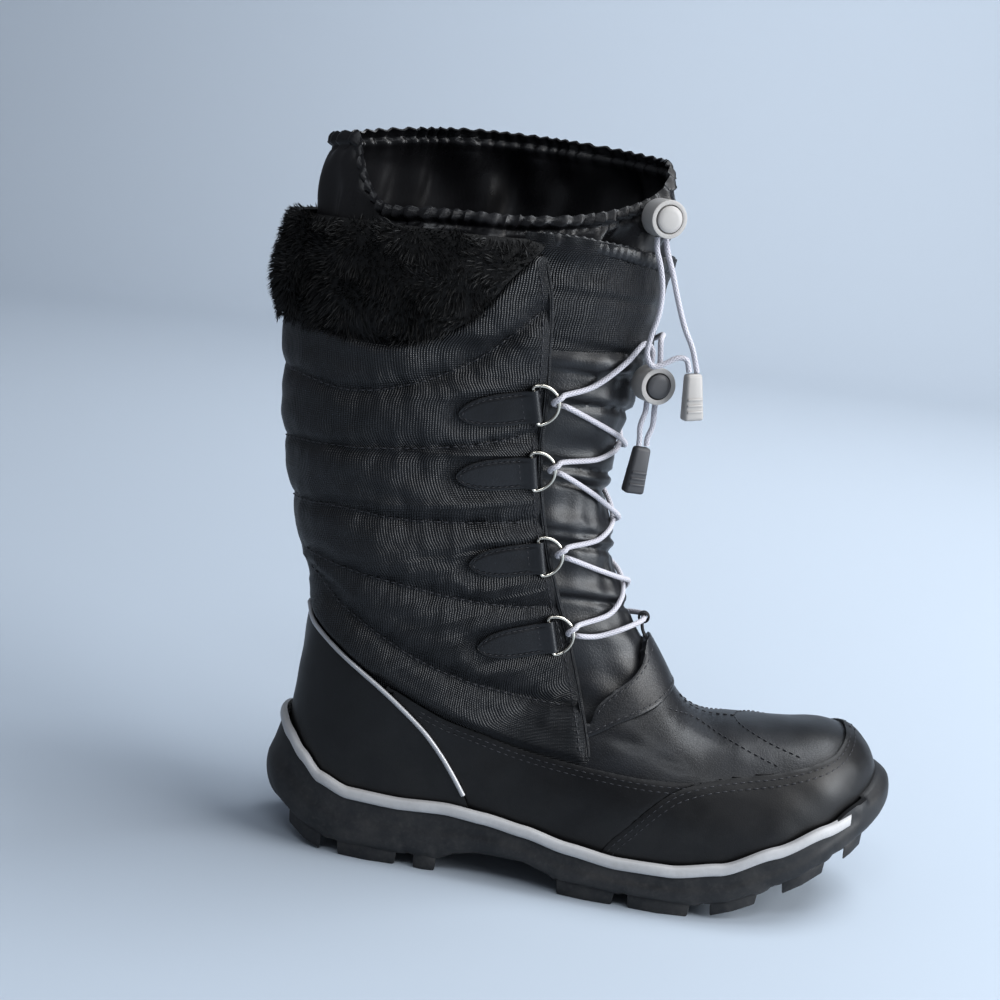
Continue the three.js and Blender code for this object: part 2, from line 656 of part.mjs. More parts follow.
const rollHalf = 7.4;
const patchThickness = 1.5;
const patchShape = table(['part', 'half'], [[0, 2.6], [0.07, 5], [0.3, 6.8], [0.65, 7.2], [1, 7.2]]);

function ringTab(eyelet, sign) {
  const frame = eyeletFrame(eyelet, sign);
  const dx = eyelet.rollX - eyelet.tipX;
  const dz = eyelet.rollZ - eyelet.tipZ;
  const length = Math.hypot(dx, dz);
  const rows = patchShape.map(({ part, half }) => {
    const x = eyelet.tipX + dx * part;
    const z = eyelet.tipZ + dz * part;
    const corner = (w, offset) => onForm(x - (dz / length) * w, z + (dx / length) * w, sign, offset);
    const low = fitGap + 0.25;
    const top = low + patchThickness;
    return [corner(-half, low), corner(-half, top), corner(0, top), corner(half, top),
      corner(half, low), corner(0, low)];
  });
  const roll = bar(inFrame(frame, 0, -rollHalf), inFrame(frame, 0, rollHalf), rollRadius, 8);
  const bore = bar(inFrame(frame, 0, -rollHalf - 2), inFrame(frame, 0, rollHalf + 2),
    (wireRadius + fitGap) * 1.2, 6);
  return mainBody(solid(gridGeometry(rows, true, true)).add(roll).subtract(bore));
}

// a D: straight bar inside the roll, half round in front of it
function dRing(eyelet, sign) {
  const frame = eyeletFrame(eyelet, sign);
  const path = [[0, -ringHalfHeight * 0.9], [0, 0], [0, ringHalfHeight * 0.9]];
  const arcSteps = 6;
  for (let i = 0; i <= arcSteps; i++) {
    const a = (Math.PI * i) / arcSteps;
    path.push([1.4 + (ringDepth - 1.4) * Math.sin(a), ringHalfHeight * Math.cos(a)]);
  }
  const count = path.length;
  const rows = path.map(([f, u], i) => {
    const [f0, u0] = path[(i + count - 1) % count];
    const [f1, u1] = path[(i + 1) % count];
    const length = Math.hypot(f1 - f0, u1 - u0);
    const [nf, nu] = [(u1 - u0) / length, -(f1 - f0) / length];
    return Array.from({ length: 6 }, (_, j) => {
      const a = (2 * Math.PI * j) / 6;
      const wide = wireRadius * Math.cos(a);
      return inFrame(frame, f + nf * wide, u + nu * wide, wireRadius * Math.sin(a));
    });
  });
  return solid(gridGeometry([...rows, rows[0]], false, false));
}

// ---- elastic lace -----------------------------------------------------------------------------------
const laceRide = -1.0;
const laceSides = 8;
const laceStart = ringDepth + wireRadius + laceRadius + fitGap;

function laceSpan(fromIndex, fromSign, toIndex, crestZ, fromShift, toShift) {
  const a = eyelets[fromIndex];
  const b = eyelets[toIndex];
  const frameA = eyeletFrame(a, fromSign);
  const frameB = eyeletFrame(b, -fromSign);
  const points = [inFrame(frameA, laceStart, fromShift, -0.4)];
  const angleA = findOnSide(a.rollX + laceStart + 2, a.rollZ).angle;
  const angleB = findOnSide(b.rollX + laceStart + 2, b.rollZ).angle;
  for (const part of [0.62, 0.3]) {
    const z = crestZ + (a.rollZ + fromShift - crestZ) * part;
    const angle = angleA * part;
    points.push(outFrom(findAtHeight(z, angle), fromSign * angle, laceRide + part));
  }
  points.push(outFrom(findAtHeight(crestZ, 0), 0, laceRide));
  for (const part of [0.3, 0.62]) {
    const z = crestZ + (b.rollZ + toShift - crestZ) * part;
    const angle = angleB * part;
    points.push(outFrom(findAtHeight(z, angle), -fromSign * angle, laceRide + part));
  }
  points.push(inFrame(frameB, laceStart, toShift, -0.4));
  return solid(tube(points, laceRadius, laceSides, 18));
}

const crestHeights = [200, 166, 137];
const strandShift = 2.4;
const laceCrosses = crestHeights.map((crestZ, i) =>
  laceSpan(i + 1, 1, i, crestZ, strandShift, -strandShift)
    .add(laceSpan(i + 1, -1, i, crestZ, strandShift, -strandShift)));
const keeperMiddle = new THREE.Vector3(130.6, 0, 121);
const barPoints = sides.flatMap(({ sign }) => {
  const frame = eyeletFrame(eyelets[3], sign);
  const half = [
    inFrame(frame, laceStart, -strandShift, -0.4),
    onForm(110, 115.5, sign, 0.6),
    onForm(120, 118, sign, 1.2),
    new THREE.Vector3(keeperMiddle.x - 0.6, -sign * 6, keeperMiddle.z),
  ];
  return sign > 0 ? [...half, keeperMiddle] : half.reverse();
});
const laceBar = solid(tube(barPoints, laceRadius, laceSides, 14));

// webbing loop at the bottom of the throat that the lace runs through
const keeperWide = 5;
const keeperShape = new THREE.Shape();
keeperShape.absarc(0, 0, laceRadius + fitGap + 1.3, 0, 2 * Math.PI, false);
const keeperHole = new THREE.Path();
keeperHole.absarc(0, 0, laceRadius + fitGap + 0.2, 0, 2 * Math.PI, true);
keeperShape.holes.push(keeperHole);
const keeperGeometry = new THREE.ExtrudeGeometry(keeperShape, {
  depth: keeperWide, bevelEnabled: false, curveSegments: 12,
});
keeperGeometry.rotateX(Math.PI / 2);
keeperGeometry.translate(keeperMiddle.x, keeperWide / 2, keeperMiddle.z);
const laceKeeper = solid(keeperGeometry);

// ---- cord locks and free cord ends ------------------------------------------------------------------
function cordLock(middle, axis, radius, thick) {
  const h = thick / 2;
  const profile = [[0, -h], [radius * 0.86, -h], [radius, -h + 1.6], [radius, h - 1.6], [radius * 0.86, h], [0, h]];
  const geometry = new THREE.LatheGeometry(profile.map(([x, y]) => new THREE.Vector2(x, y)), 18);
  geometry.applyQuaternion(new THREE.Quaternion().setFromUnitVectors(new THREE.Vector3(0, 1, 0), axis));
  geometry.translate(middle.x, middle.y, middle.z);
  return solid(geometry);
}

function cordEnd(top, bottom, across, wide, thick) {
  const along = bottom.clone().sub(top).normalize();
  const side = across.clone().addScaledVector(along, -across.dot(along)).normalize();
  const deep = new THREE.Vector3().crossVectors(along, side);
  const corners = [[-0.5, -0.32], [-0.3, -0.5], [0.3, -0.5], [0.5, -0.32], [0.5, 0.32], [0.3, 0.5], [-0.3, 0.5],
    [-0.5, 0.32]];
  const length = top.distanceTo(bottom);
  const rows = [[0, 0.82], [0.12, 1], [0.9, 1], [1, 0.86]].map(([part, scale]) => corners.map(([s, d]) =>
    top.clone()
      .addScaledVector(along, part * length)
      .addScaledVector(side, s * wide * scale)
      .addScaledVector(deep, d * thick * scale)));
  return solid(gridGeometry(rows, true, true));
}

const lockAxis = new THREE.Vector3(0.42, -0.91, 0).normalize();
const lockAcross = new THREE.Vector3(0.91, 0.42, 0).normalize();
const laceLockMiddle = new THREE.Vector3(121, -18.5, 231);
const cuffLockMiddle = new THREE.Vector3(116.5, -27.5, 303.5);
const lockRadius = 8.2;
const lockThick = 11;
const laceLock = cordLock(laceLockMiddle, lockAxis, lockRadius, lockThick);
const cuffLock = cordLock(cuffLockMiddle, lockAxis, lockRadius, lockThick);

const strandGap = 2.1;
const exitFace = Math.sqrt(lockRadius ** 2 - (strandGap + laceRadius) ** 2) + fitGap * 2.2;
const fromLock = (middle, across, dz, dy = 0) => middle.clone()
  .addScaledVector(lockAcross, across)
  .add(new THREE.Vector3(0, dy, dz));
const onShaft = (z, angle, offset) => outFrom(findAtHeight(z, angle), angle, offset);

const laceTails = sides.map(({ name, sign }) => {
  const start = inFrame(eyeletFrame(eyelets[0], sign), laceStart, strandShift, -0.4);
  const climb = sign > 0
    ? [onShaft(229, 0.78, -0.2), onShaft(238, 0.56, 0.4), onShaft(245, 0.38, 1.6)]
    : [onShaft(231, -0.78, -0.2), onShaft(241, -0.5, -0.6), onShaft(248, -0.2, -0.6), onShaft(251.5, 0.06, 0.4)];
  const drop = fromLock(laceLockMiddle, -sign * strandGap, exitFace);
  const above = drop.clone().add(new THREE.Vector3(-0.4, 0, 5));
  const over = sign > 0
    ? [drop.clone().add(new THREE.Vector3(-2.6, -0.4, 8.8))]
    : [drop.clone().add(new THREE.Vector3(-0.9, 1.6, 10.5))];
  return { name, route: [start, ...climb, ...over, above, drop] };
});

const laceEndTop = new THREE.Vector3(119.6, -19.2, 203);
const laceEndBottom = new THREE.Vector3(117.6, -19.4, 182);
const laceDrops = sides.map(({ name, sign }) => {
  const exit = fromLock(laceLockMiddle, -sign * strandGap, -exitFace);
  const arrive = laceEndTop.clone().addScaledVector(lockAcross, -sign * 1.9).add(new THREE.Vector3(0.1, 0, 0.5));
  return {
    name,
    route: [
      exit,
      exit.clone().add(new THREE.Vector3(0, 0, -4)),
      exit.clone().lerp(arrive, 0.55).addScaledVector(lockAcross, -sign * 1.0),
      arrive.clone().add(new THREE.Vector3(0, 0, 3.4)),
      arrive,
    ],
  };
});
const laceEnd = cordEnd(laceEndTop, laceEndBottom, lockAcross, 9.6, 6.4);

// the snow cuff's drawcord: two strands of different length from its lock to a shared end
const cuffEndTop = new THREE.Vector3(137.4, -24.0, 238.5);
const cuffEndBottom = new THREE.Vector3(139.4, -23.6, 218);
const cuffStart = (sign) => fromLock(cuffLockMiddle, -sign * strandGap, -exitFace);
const cuffArrive = (sign) => cuffEndTop.clone().addScaledVector(lockAcross, -sign * 1.9)
  .add(new THREE.Vector3(-0.1, 0, 0.5));
const cuffRoutes = [
  {
    name: 'lateral',
    route: [cuffStart(1), [115.2, -28.6, 290], [117.6, -28.8, 283], [119.6, -28.8, 273], [119.4, -28.6, 262.5],
      [117.2, -28.4, 252.5], [116.6, -28.0, 244.5], [119.6, -27.4, 240], [124.6, -26.6, 241.6],
      [129.6, -25.8, 244.6], [133.6, -25.2, 244.4], cuffArrive(1)],
  },
  {
    name: 'medial',
    route: [cuffStart(-1), [119.6, -26.6, 290], [123.0, -26.2, 281], [126.8, -25.6, 269.5], [131.2, -24.8, 258],
      [135.8, -23.8, 249], cuffArrive(-1)],
  },
];
const asPoint = (p) => (Array.isArray(p) ? new THREE.Vector3(...p) : p);
const cuffEnd = cordEnd(cuffEndTop, cuffEndBottom, lockAcross, 9.6, 6.4);

// ---- parts list -------------------------------------------------------------------------------------
const group = new THREE.Group();
group.name = 'snow_boot';

function addPart(name, shape, colour, roughness, metalness = 0) {
  const mesh = shape.getMesh();
  const geometry = new THREE.BufferGeometry();
  const count = mesh.numProp;
  const position = new Float32Array((mesh.vertProperties.length / count) * 3);
  for (let i = 0; i < position.length / 3; i++) {
    for (let k = 0; k < 3; k++) position[3 * i + k] = mesh.vertProperties[count * i + k];
  }
  geometry.setAttribute('position', new THREE.BufferAttribute(position, 3));
  geometry.setIndex(new THREE.BufferAttribute(Uint32Array.from(mesh.triVerts), 1));
  geometry.computeVertexNormals();
  const material = new THREE.MeshStandardMaterial({ color: colour, roughness, metalness });
  const part = new THREE.Mesh(geometry, material);
  part.name = name;
  group.add(part);
}

const black = 0x16171a;
addPart('outsole', outsole, 0x2b2e33, 0.75);
addPart('midsole_band', midsoleBand, 0xa7a9a8, 0.6);
addPart('insole', insole, 0x1b1b1d, 0.95);
addPart('upper', upper, 0x1a1b1f, 0.5);
addPart('tongue', tongue, 0x1d1e22, 0.45);
addPart('heel_counter', heelCounter, black, 0.45);
addPart('rand_lateral', randLateral, black, 0.45);
addPart('rand_medial', randMedial, black, 0.45);
addPart('toe_cap', toeCap, black, 0.4);
addPart('fur_collar', furCollar, 0x121214, 1.0);
addPart('snow_cuff', snowCuff, 0x141416, 0.55);
for (const { name, sign } of sides) {
  eyelets.forEach((eyelet, i) => {
    addPart(`ring_tab_${name}_${i + 1}`, ringTab(eyelet, sign), black, 0.45);
    addPart(`d_ring_${name}_${i + 1}`, dRing(eyelet, sign), 0xc9c4ba, 0.25, 1);
  });
}
const laceColour = 0xaba9b1;
const lockColour = 0xb3aeaa;
addPart('lace_keeper', laceKeeper, black, 0.6);
laceCrosses.forEach((cross, i) => addPart(`lace_cross_${i + 1}`, cross, laceColour, 0.7));
addPart('lace_bar', laceBar, laceColour, 0.7);
for (const { name, route } of laceTails) {
  addPart(`lace_tail_${name}`, solid(tube(route, laceRadius, laceSides, 12)), laceColour, 0.7);
}
addPart('lace_lock', laceLock, lockColour, 0.5);
for (const { name, route } of laceDrops) {
  addPart(`lace_drop_${name}`, solid(tube(route, laceRadius, laceSides, 5)), laceColour, 0.7);
}
addPart('lace_end', laceEnd, lockColour, 0.5);
addPart('cuff_lock', cuffLock, lockColour, 0.5);
for (const { name, route } of cuffRoutes) {
  addPart(`cuff_cord_${name}`, solid(tube(route.map(asPoint), laceRadius, laceSides, 14)), laceColour, 0.7);
}
addPart('cuff_cord_end', cuffEnd, lockColour, 0.5);

export default group;
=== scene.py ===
# %% [markdown]
# # A snow boot for the right foot
# The boot is built on a last, the foot-shaped form that a shoemaker stretches the upper over. The soft
# panels are grids that are laid on that last, given a thickness, and creased or puffed. The locks,
# cord ends and lugs are modelled from primitives, the rings and cords are swept along a path, and the sole
# is lofted. The sizes repeat those of the imported model, and the insole is a copy of its insole.

# %% Load the frame
import math
import bmesh
import bpy
import numpy as np
from mathutils import Matrix, Vector


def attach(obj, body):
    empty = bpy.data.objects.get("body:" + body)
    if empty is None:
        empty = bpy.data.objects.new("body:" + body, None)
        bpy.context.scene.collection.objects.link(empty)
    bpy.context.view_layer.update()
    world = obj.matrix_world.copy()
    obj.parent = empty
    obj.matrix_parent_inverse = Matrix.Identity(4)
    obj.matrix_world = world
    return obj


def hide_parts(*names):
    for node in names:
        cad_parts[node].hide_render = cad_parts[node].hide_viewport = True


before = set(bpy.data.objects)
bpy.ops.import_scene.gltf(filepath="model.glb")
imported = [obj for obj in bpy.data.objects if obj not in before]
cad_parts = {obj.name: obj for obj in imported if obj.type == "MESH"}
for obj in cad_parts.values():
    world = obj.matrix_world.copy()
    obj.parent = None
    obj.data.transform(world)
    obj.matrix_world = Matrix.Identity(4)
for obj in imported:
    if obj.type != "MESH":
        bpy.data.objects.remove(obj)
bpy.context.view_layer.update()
mm = 0.001
random = np.random.default_rng(11)

# %% [markdown]
# ## Camera, floor and light
# The camera looks at the boot's outer side from 0.85 m away, from a little above and a little towards the
# toe, and it is rolled about six degrees. The floor runs back into a wall with a soft bend, so that no
# horizon line shows.

# %% Camera
view_azimuth = math.radians(3.0)
view_elevation = math.radians(12.0)
view_roll = math.radians(6.37)
view_distance = 0.850
view_target = Vector((0.0588, 0.0, 0.1673))
back = Vector((math.sin(view_azimuth) * math.cos(view_elevation),
               -math.cos(view_azimuth) * math.cos(view_elevation),
               math.sin(view_elevation)))
level_right = Vector((0, 0, 1)).cross(back).normalized()
level_up = back.cross(level_right)
right = level_right * math.cos(view_roll) + level_up * math.sin(view_roll)
up = level_up * math.cos(view_roll) - level_right * math.sin(view_roll)
camera_data = bpy.data.cameras.new("camera")
camera_data.lens = 67.0
camera_data.sensor_width = 36.0
camera_data.clip_start = 0.05
camera = bpy.data.objects.new("camera", camera_data)
bpy.context.scene.collection.objects.link(camera)
camera.matrix_world = Matrix.Translation(view_target + back * view_distance) @ Matrix((
    (right.x, up.x, back.x, 0),
    (right.y, up.y, back.y, 0),
    (right.z, up.z, back.z, 0),
    (0, 0, 0, 1),
))
bpy.context.scene.camera = camera
print("camera at", tuple(round(v, 3) for v in camera.matrix_world.translation))


# %% Material helpers
def new_material(name, colour, roughness, metallic=0.0, **sockets):
    material = bpy.data.materials.new(name)
    material.use_nodes = True
    shader = material.node_tree.nodes["Principled BSDF"]
    shader.inputs["Base Color"].default_value = (*colour, 1.0)
    shader.inputs["Roughness"].default_value = roughness
    shader.inputs["Metallic"].default_value = metallic
    for socket, value in sockets.items():
        shader.inputs[socket.replace("_", " ")].default_value = value
    return material


def node(tree, kind, **settings):
    made = tree.nodes.new(kind)
    for key, value in settings.items():
        setattr(made, key, value)
    return made


def wire(tree, a, out, b, into):
    tree.links.new(a.outputs[out], b.inputs[into])


# %% Floor, wall and lights
bpy.ops.object.select_all(action="DESELECT")
bpy.ops.mesh.primitive_plane_add(size=4.0, location=(0, 0.6, 0))
floor = bpy.context.object
floor.name = "floor"
bpy.ops.object.mode_set(mode="EDIT")
bpy.ops.mesh.select_mode(type="EDGE")
bpy.ops.mesh.select_all(action="DESELECT")
bpy.ops.object.mode_set(mode="OBJECT")
for edge in floor.data.edges:
    ends = [floor.data.vertices[i].co.y for i in edge.vertices]
    edge.select = min(ends) > 1.9
bpy.ops.object.mode_set(mode="EDIT")
bpy.ops.mesh.extrude_region_move(TRANSFORM_OT_translate={"value": (0, 0, 3.0)})
bpy.ops.mesh.select_all(action="DESELECT")
bpy.ops.object.mode_set(mode="OBJECT")
for edge in floor.data.edges:
    ends = [floor.data.vertices[i].co for i in edge.vertices]
    edge.select = all(c.y > 1.9 and c.z < 0.1 for c in ends)
bpy.ops.object.mode_set(mode="EDIT")
bpy.ops.mesh.bevel(offset=0.8, segments=16)
bpy.ops.object.mode_set(mode="OBJECT")
bpy.ops.object.shade_smooth()
bpy.ops.object.transform_apply(location=True, rotation=True, scale=True)
floor.data.materials.append(new_material("floor_pale", (0.50, 0.56, 0.63), 0.85))

world = bpy.data.worlds.new("studio")
world.use_nodes = True
world.node_tree.nodes["Background"].inputs["Color"].default_value = (0.84, 0.89, 1.0, 1)
world.node_tree.nodes["Background"].inputs["Strength"].default_value = 0.26
bpy.context.scene.world = world


def softbox(name, place, aim, size, watts, colour=(1, 1, 1)):
    data = bpy.data.lights.new(name, "AREA")
    data.shape = "RECTANGLE"
    data.size, data.size_y = size
    data.energy = watts
    data.color = colour
    lamp = bpy.data.objects.new(name, data)
    bpy.context.scene.collection.objects.link(lamp)
    lamp.location = place
    lamp.rotation_euler = (Vector(aim) - Vector(place)).to_track_quat("-Z", "Y").to_euler()


softbox("key", (1.8, -0.75, 1.25), (0.1, 0, 0.14), (1.4, 1.2), 27, (1.0, 0.985, 0.965))
softbox("window", (1.5, -0.42, 0.42), (0.1, 0, 0.2), (0.9, 0.7), 16, (0.92, 0.96, 1.0))
softbox("side", (0.1, -1.15, 1.5), (0.05, 0, 0.15), (0.9, 0.35), 6.5, (0.92, 0.96, 1.0))
softbox("top", (0.75, 0.2, 1.45), (0.12, 0, 0.12), (0.8, 0.8), 14, (0.93, 0.965, 1.0))
softbox("wall", (0.7, 0.9, 1.6), (0.6, 2.6, 0.7), (1.8, 0.9), 27)
bpy.context.scene.view_settings.view_transform = "Standard"
bpy.context.scene.view_settings.gamma = 0.84
bpy.context.scene.view_settings.exposure = 0.05
print("stage:", len(bpy.data.lights), "lights")

# %% [markdown]
# ## The last
# A last can be sculpted, or drawn as a row of sections. Sections are used here, because every panel, seam
# and stitch can then be placed by how far along and how far round it lies. Each section is a line from
# the back to the front of the foot, with its widest points on both sides, in millimetres. The sections
# start at the toe, turn round the instep and end at the collar.

# %% Sections of the last
# back x and z, front x and z, lateral y, medial y, where it is widest, roundness of the back and front
last_table = np.array([
    (245, 30, 245.5, 58, 8, 8, .40, 4, 2.4), (243.5, 29, 244, 64, -5, 20, .40, 4, 2.4),
    (239, 27, 240, 71, -14.5, 27.5, .40, 4, 2.4), (230, 24, 232, 78, -26, 35, .40, 4, 2.3),
    (217, 18, 219.5, 81.5, -36.5, 41, .38, 4, 2.2), (200, 12, 202, 81, -44.5, 44.6, .36, 4, 2.1),
    (180, 9, 182, 80, -48.5, 46, .34, 4, 2.1), (160, 8, 166.5, 80, -49.5, 45.8, .34, 4, 2.1),
    (135, 8, 157.5, 82.5, -48.3, 43.6, .35, 4, 2.1), (108, 10, 151.5, 87, -45.5, 40.2, .37, 4, 2.1),
    (76, 13, 147, 92.5, -41.3, 37.2, .40, 4, 2.1), (42, 15, 143, 99, -38.2, 35.6, .42, 4, 2.1),
    (8, 17, 138.5, 106, -36.6, 35, .44, 3.6, 2.1), (-16, 20, 133.5, 113, -36.2, 35, .46, 3, 2.1),
    (-24.5, 36, 128.5, 120, -36.4, 35.4, .47, 2.6, 2.1), (-26, 55, 124, 127.5, -36.6, 36, .48, 2.4, 2.1),
    (-24.6, 75, 120, 136, -37, 36.6, .48, 2.3, 2.1), (-22.6, 96, 117, 145.5, -37.5, 37.3, .49, 2.2, 2.1),
    (-21.8, 116, 114, 156, -38.2, 38.1, .50, 2.2, 2.1), (-27.5, 134, 111.5, 167, -39.4, 39.4, .5, 2.2, 2.1),
    (-33.6, 155, 109.5, 179, -40.8, 40.8, .5, 2.2, 2.1), (-39.5, 180, 109.5, 194, -42.8, 42.8, .5, 2.2, 2.1),
    (-43, 205, 114, 214, -44.6, 44.6, .5, 2.2, 2.1), (-44.5, 230, 119.5, 235, -45.8, 45.8, .5, 2.2, 2.1),
    (-45, 252, 123, 254, -46.4, 46.4, .5, 2.2, 2.1), (-44.5, 276, 126, 276, -46.6, 46.6, .5, 2.2, 2.1),
    (-43, 300, 128.5, 298, -46.4, 46.4, .5, 2.2, 2.1), (-42, 318, 130, 316, -46.2, 46.2, .5, 2.2, 2.1),
], float)
last_end = len(last_table) - 1.0


def spline(rows, at):
    """A smooth line through the rows, read at any place between them."""
    rows, at = np.asarray(rows, float), np.asarray(at, float)
    shape, rows = at.shape + rows.shape[1:], rows.reshape(len(rows), -1)
    i = np.clip(np.floor(at).astype(int), 0, len(rows) - 2)
    u = (at - i)[..., None]
    p1, p2 = rows[i], rows[i + 1]
    p0 = np.where((i > 0)[..., None], rows[np.maximum(i - 1, 0)], 2 * p1 - p2)
    p3 = np.where((i + 2 < len(rows))[..., None], rows[np.minimum(i + 2, len(rows) - 1)], 2 * p2 - p1)
    m1, m2 = (p2 - p0) / 2, (p3 - p1) / 2
    return ((2 * u**3 - 3 * u**2 + 1) * p1 + (u**3 - 2 * u**2 + u) * m1
            + (3 * u**2 - 2 * u**3) * p2 + (u**3 - u**2) * m2).reshape(shape)


def round_path(points, step):
    """A smooth line through unevenly spaced points, with places one step apart, and its length."""
    p = np.asarray(points, float)
    p = np.concatenate([[2 * p[0] - p[1]], p, [2 * p[-1] - p[-2]]])
    knots = np.concatenate([[0], np.cumsum(np.sqrt(np.linalg.norm(np.diff(p, axis=0), axis=1)))])
    fine = []
    for i in range(1, len(p) - 2):
        t0, t1, t2, t3 = knots[i - 1:i + 3]
        t = np.linspace(t1, t2, 24, endpoint=i == len(p) - 3)[:, None]
        a1 = (t1 - t) / (t1 - t0) * p[i - 1] + (t - t0) / (t1 - t0) * p[i]
        a2 = (t2 - t) / (t2 - t1) * p[i] + (t - t1) / (t2 - t1) * p[i + 1]
        a3 = (t3 - t) / (t3 - t2) * p[i + 1] + (t - t2) / (t3 - t2) * p[i + 2]
        b1 = (t2 - t) / (t2 - t0) * a1 + (t - t0) / (t2 - t0) * a2
        b2 = (t3 - t) / (t3 - t1) * a2 + (t - t1) / (t3 - t1) * a3
        fine.append((t2 - t) / (t2 - t1) * b1 + (t - t1) / (t2 - t1) * b2)
    fine = np.concatenate(fine)
    run = np.concatenate([[0], np.cumsum(np.linalg.norm(np.diff(fine, axis=0), axis=1))])
    places = np.linspace(0, run[-1], max(int(round(run[-1] / step)), 2) + 1)
    return np.stack([np.interp(places, run, fine[:, k]) for k in range(3)], -1), run[-1]


def smooth_line(points, count):
    return spline(points, np.linspace(0, len(points) - 1, count + 1))


def last_point(at, angle):
    """Point of the last: angle 0 is the front middle, positive angles are the lateral side."""
    s = spline(last_table, at)
    cosine, sine = np.cos(angle), np.sin(angle)
    power = 2 / np.where(cosine > 0, s[..., 8], s[..., 7])
    run = np.abs(cosine) ** power
    along = np.where(cosine > 0, s[..., 6] + (1 - s[..., 6]) * run, s[..., 6] - s[..., 6] * run)
    middle, half = (s[..., 4] + s[..., 5]) / 2, (s[..., 5] - s[..., 4]) / 2
    return np.stack([s[..., 0] + (s[..., 2] - s[..., 0]) * along,
                     middle - np.sign(sine) * half * np.abs(sine) ** power,
                     s[..., 1] + (s[..., 3] - s[..., 1]) * along], -1)


def unit(v):
    return v / np.maximum(np.linalg.norm(v, axis=-1, keepdims=True), 1e-9)


def last_normal(at, angle):
    e = 0.02
    rising = last_point(np.minimum(at + e, last_end), angle) - last_point(np.maximum(at - e, 0.02), angle)
    turning = last_point(at, angle + e) - last_point(at, angle - e)
    return unit(np.cross(rising, turning))


def on_last(at, angle, offset=0.0):
    return last_point(at, angle) + last_normal(at, angle) * np.asarray(offset)[..., None]


def find_on_side(x, z):
    """Station and angle of the point that is seen from the side at x, z."""
    x, z = np.broadcast_arrays(np.asarray(x, float), np.asarray(z, float))
    low, high = np.zeros(x.shape), np.full(x.shape, last_end)
    for _ in range(34):
        mid = (low + high) / 2
        s = spline(last_table, mid)
        under = (s[..., 2] - s[..., 0]) * (z - s[..., 1]) - (s[..., 3] - s[..., 1]) * (x - s[..., 0]) > 0
        low, high = np.where(under, mid, low), np.where(under, high, mid)
    s = spline(last_table, low)
    dx, dz = s[..., 2] - s[..., 0], s[..., 3] - s[..., 1]
    along = ((x - s[..., 0]) * dx + (z - s[..., 1]) * dz) / (dx**2 + dz**2)
    front = along > s[..., 6]
    share = np.where(front, (along - s[..., 6]) / (1 - s[..., 6]), (along - s[..., 6]) / s[..., 6])
    share = np.clip(share, -1, 1)
    cosine = np.sign(share) * np.abs(share) ** (np.where(front, s[..., 8], s[..., 7]) / 2)
    return low, np.arccos(cosine)


def side_point(x, z, sign=1, offset=0.0):
    at, angle = find_on_side(x, z)
    return on_last(at, sign * angle, offset)


def find_at_height(z, angle):
    low, high = 10.0, last_end
    for _ in range(34):
        mid = (low + high) / 2
        low, high = (mid, high) if last_point(mid, angle)[2] < z else (low, mid)
    return low


def shaft_point(z, angle, offset):
    return on_last(find_at_height(z, angle), angle, offset)


print("last:", len(last_table), "sections, instep at", last_point(8.0, 0.0).round(1))

# %% [markdown]
# ## Laying a panel
# A shoe panel is a flat piece that is pulled over the last and trimmed. A grid does the same here: it is
# added as a primitive, its vertices are laid on the last, it is trimmed along its pattern line, and
# Solidify gives it the thickness of the material. Its UV map holds the real length round and along the
# panel in metres, so that a weave keeps its size.


# %% Panel helpers
def only(piece):
    bpy.ops.object.select_all(action="DESELECT")
    bpy.context.view_layer.objects.active = piece
    piece.select_set(True)


def apply_modifier(piece, kind, **settings):
    only(piece)
    modifier = piece.modifiers.new(kind.lower(), kind)
    for key, value in settings.items():
        setattr(modifier, key, value)
    bpy.ops.object.modifier_apply(modifier=modifier.name)


def place_vertices(piece, points):
    piece.data.vertices.foreach_set("co", (np.asarray(points).reshape(-1, 3) * mm).ravel())
    piece.data.update()


def vertices_of(piece):
    co = np.zeros(len(piece.data.vertices) * 3)
    piece.data.vertices.foreach_get("co", co)
    return co.reshape(-1, 3) / mm


def new_grid(name, points, wrap=False):
    """A primitive grid whose vertices are laid on points, an array of rows."""
    rows, columns = points.shape[:2]
    bpy.ops.object.select_all(action="DESELECT")
    bpy.ops.mesh.primitive_grid_add(x_subdivisions=columns - 1, y_subdivisions=rows - 1, size=0.1)
    piece = bpy.context.object
    piece.name = name
    piece.data.name = name
    place_vertices(piece, points)
    steps_u = np.linalg.norm(np.diff(points, axis=1, prepend=points[:, :1]), axis=-1)
    steps_v = np.linalg.norm(np.diff(points, axis=0, prepend=points[:1]), axis=-1)
    u = np.cumsum(steps_u, axis=1) * mm
    v = np.cumsum(steps_v, axis=0).mean(axis=1, keepdims=True) * np.ones_like(u) * mm
    flat = np.stack([u - u[:, columns // 2:columns // 2 + 1], v], -1).reshape(-1, 2)
    loops = np.zeros(len(piece.data.loops), int)
    piece.data.loops.foreach_get("vertex_index", loops)
    piece.data.uv_layers[0].data.foreach_set("uv", flat[loops].ravel())
    if wrap:
        only(piece)
        bpy.ops.object.mode_set(mode="EDIT")
        bpy.ops.mesh.select_all(action="SELECT")
        bpy.ops.mesh.remove_doubles(threshold=1e-6)
        bpy.ops.object.mode_set(mode="OBJECT")
    return piece


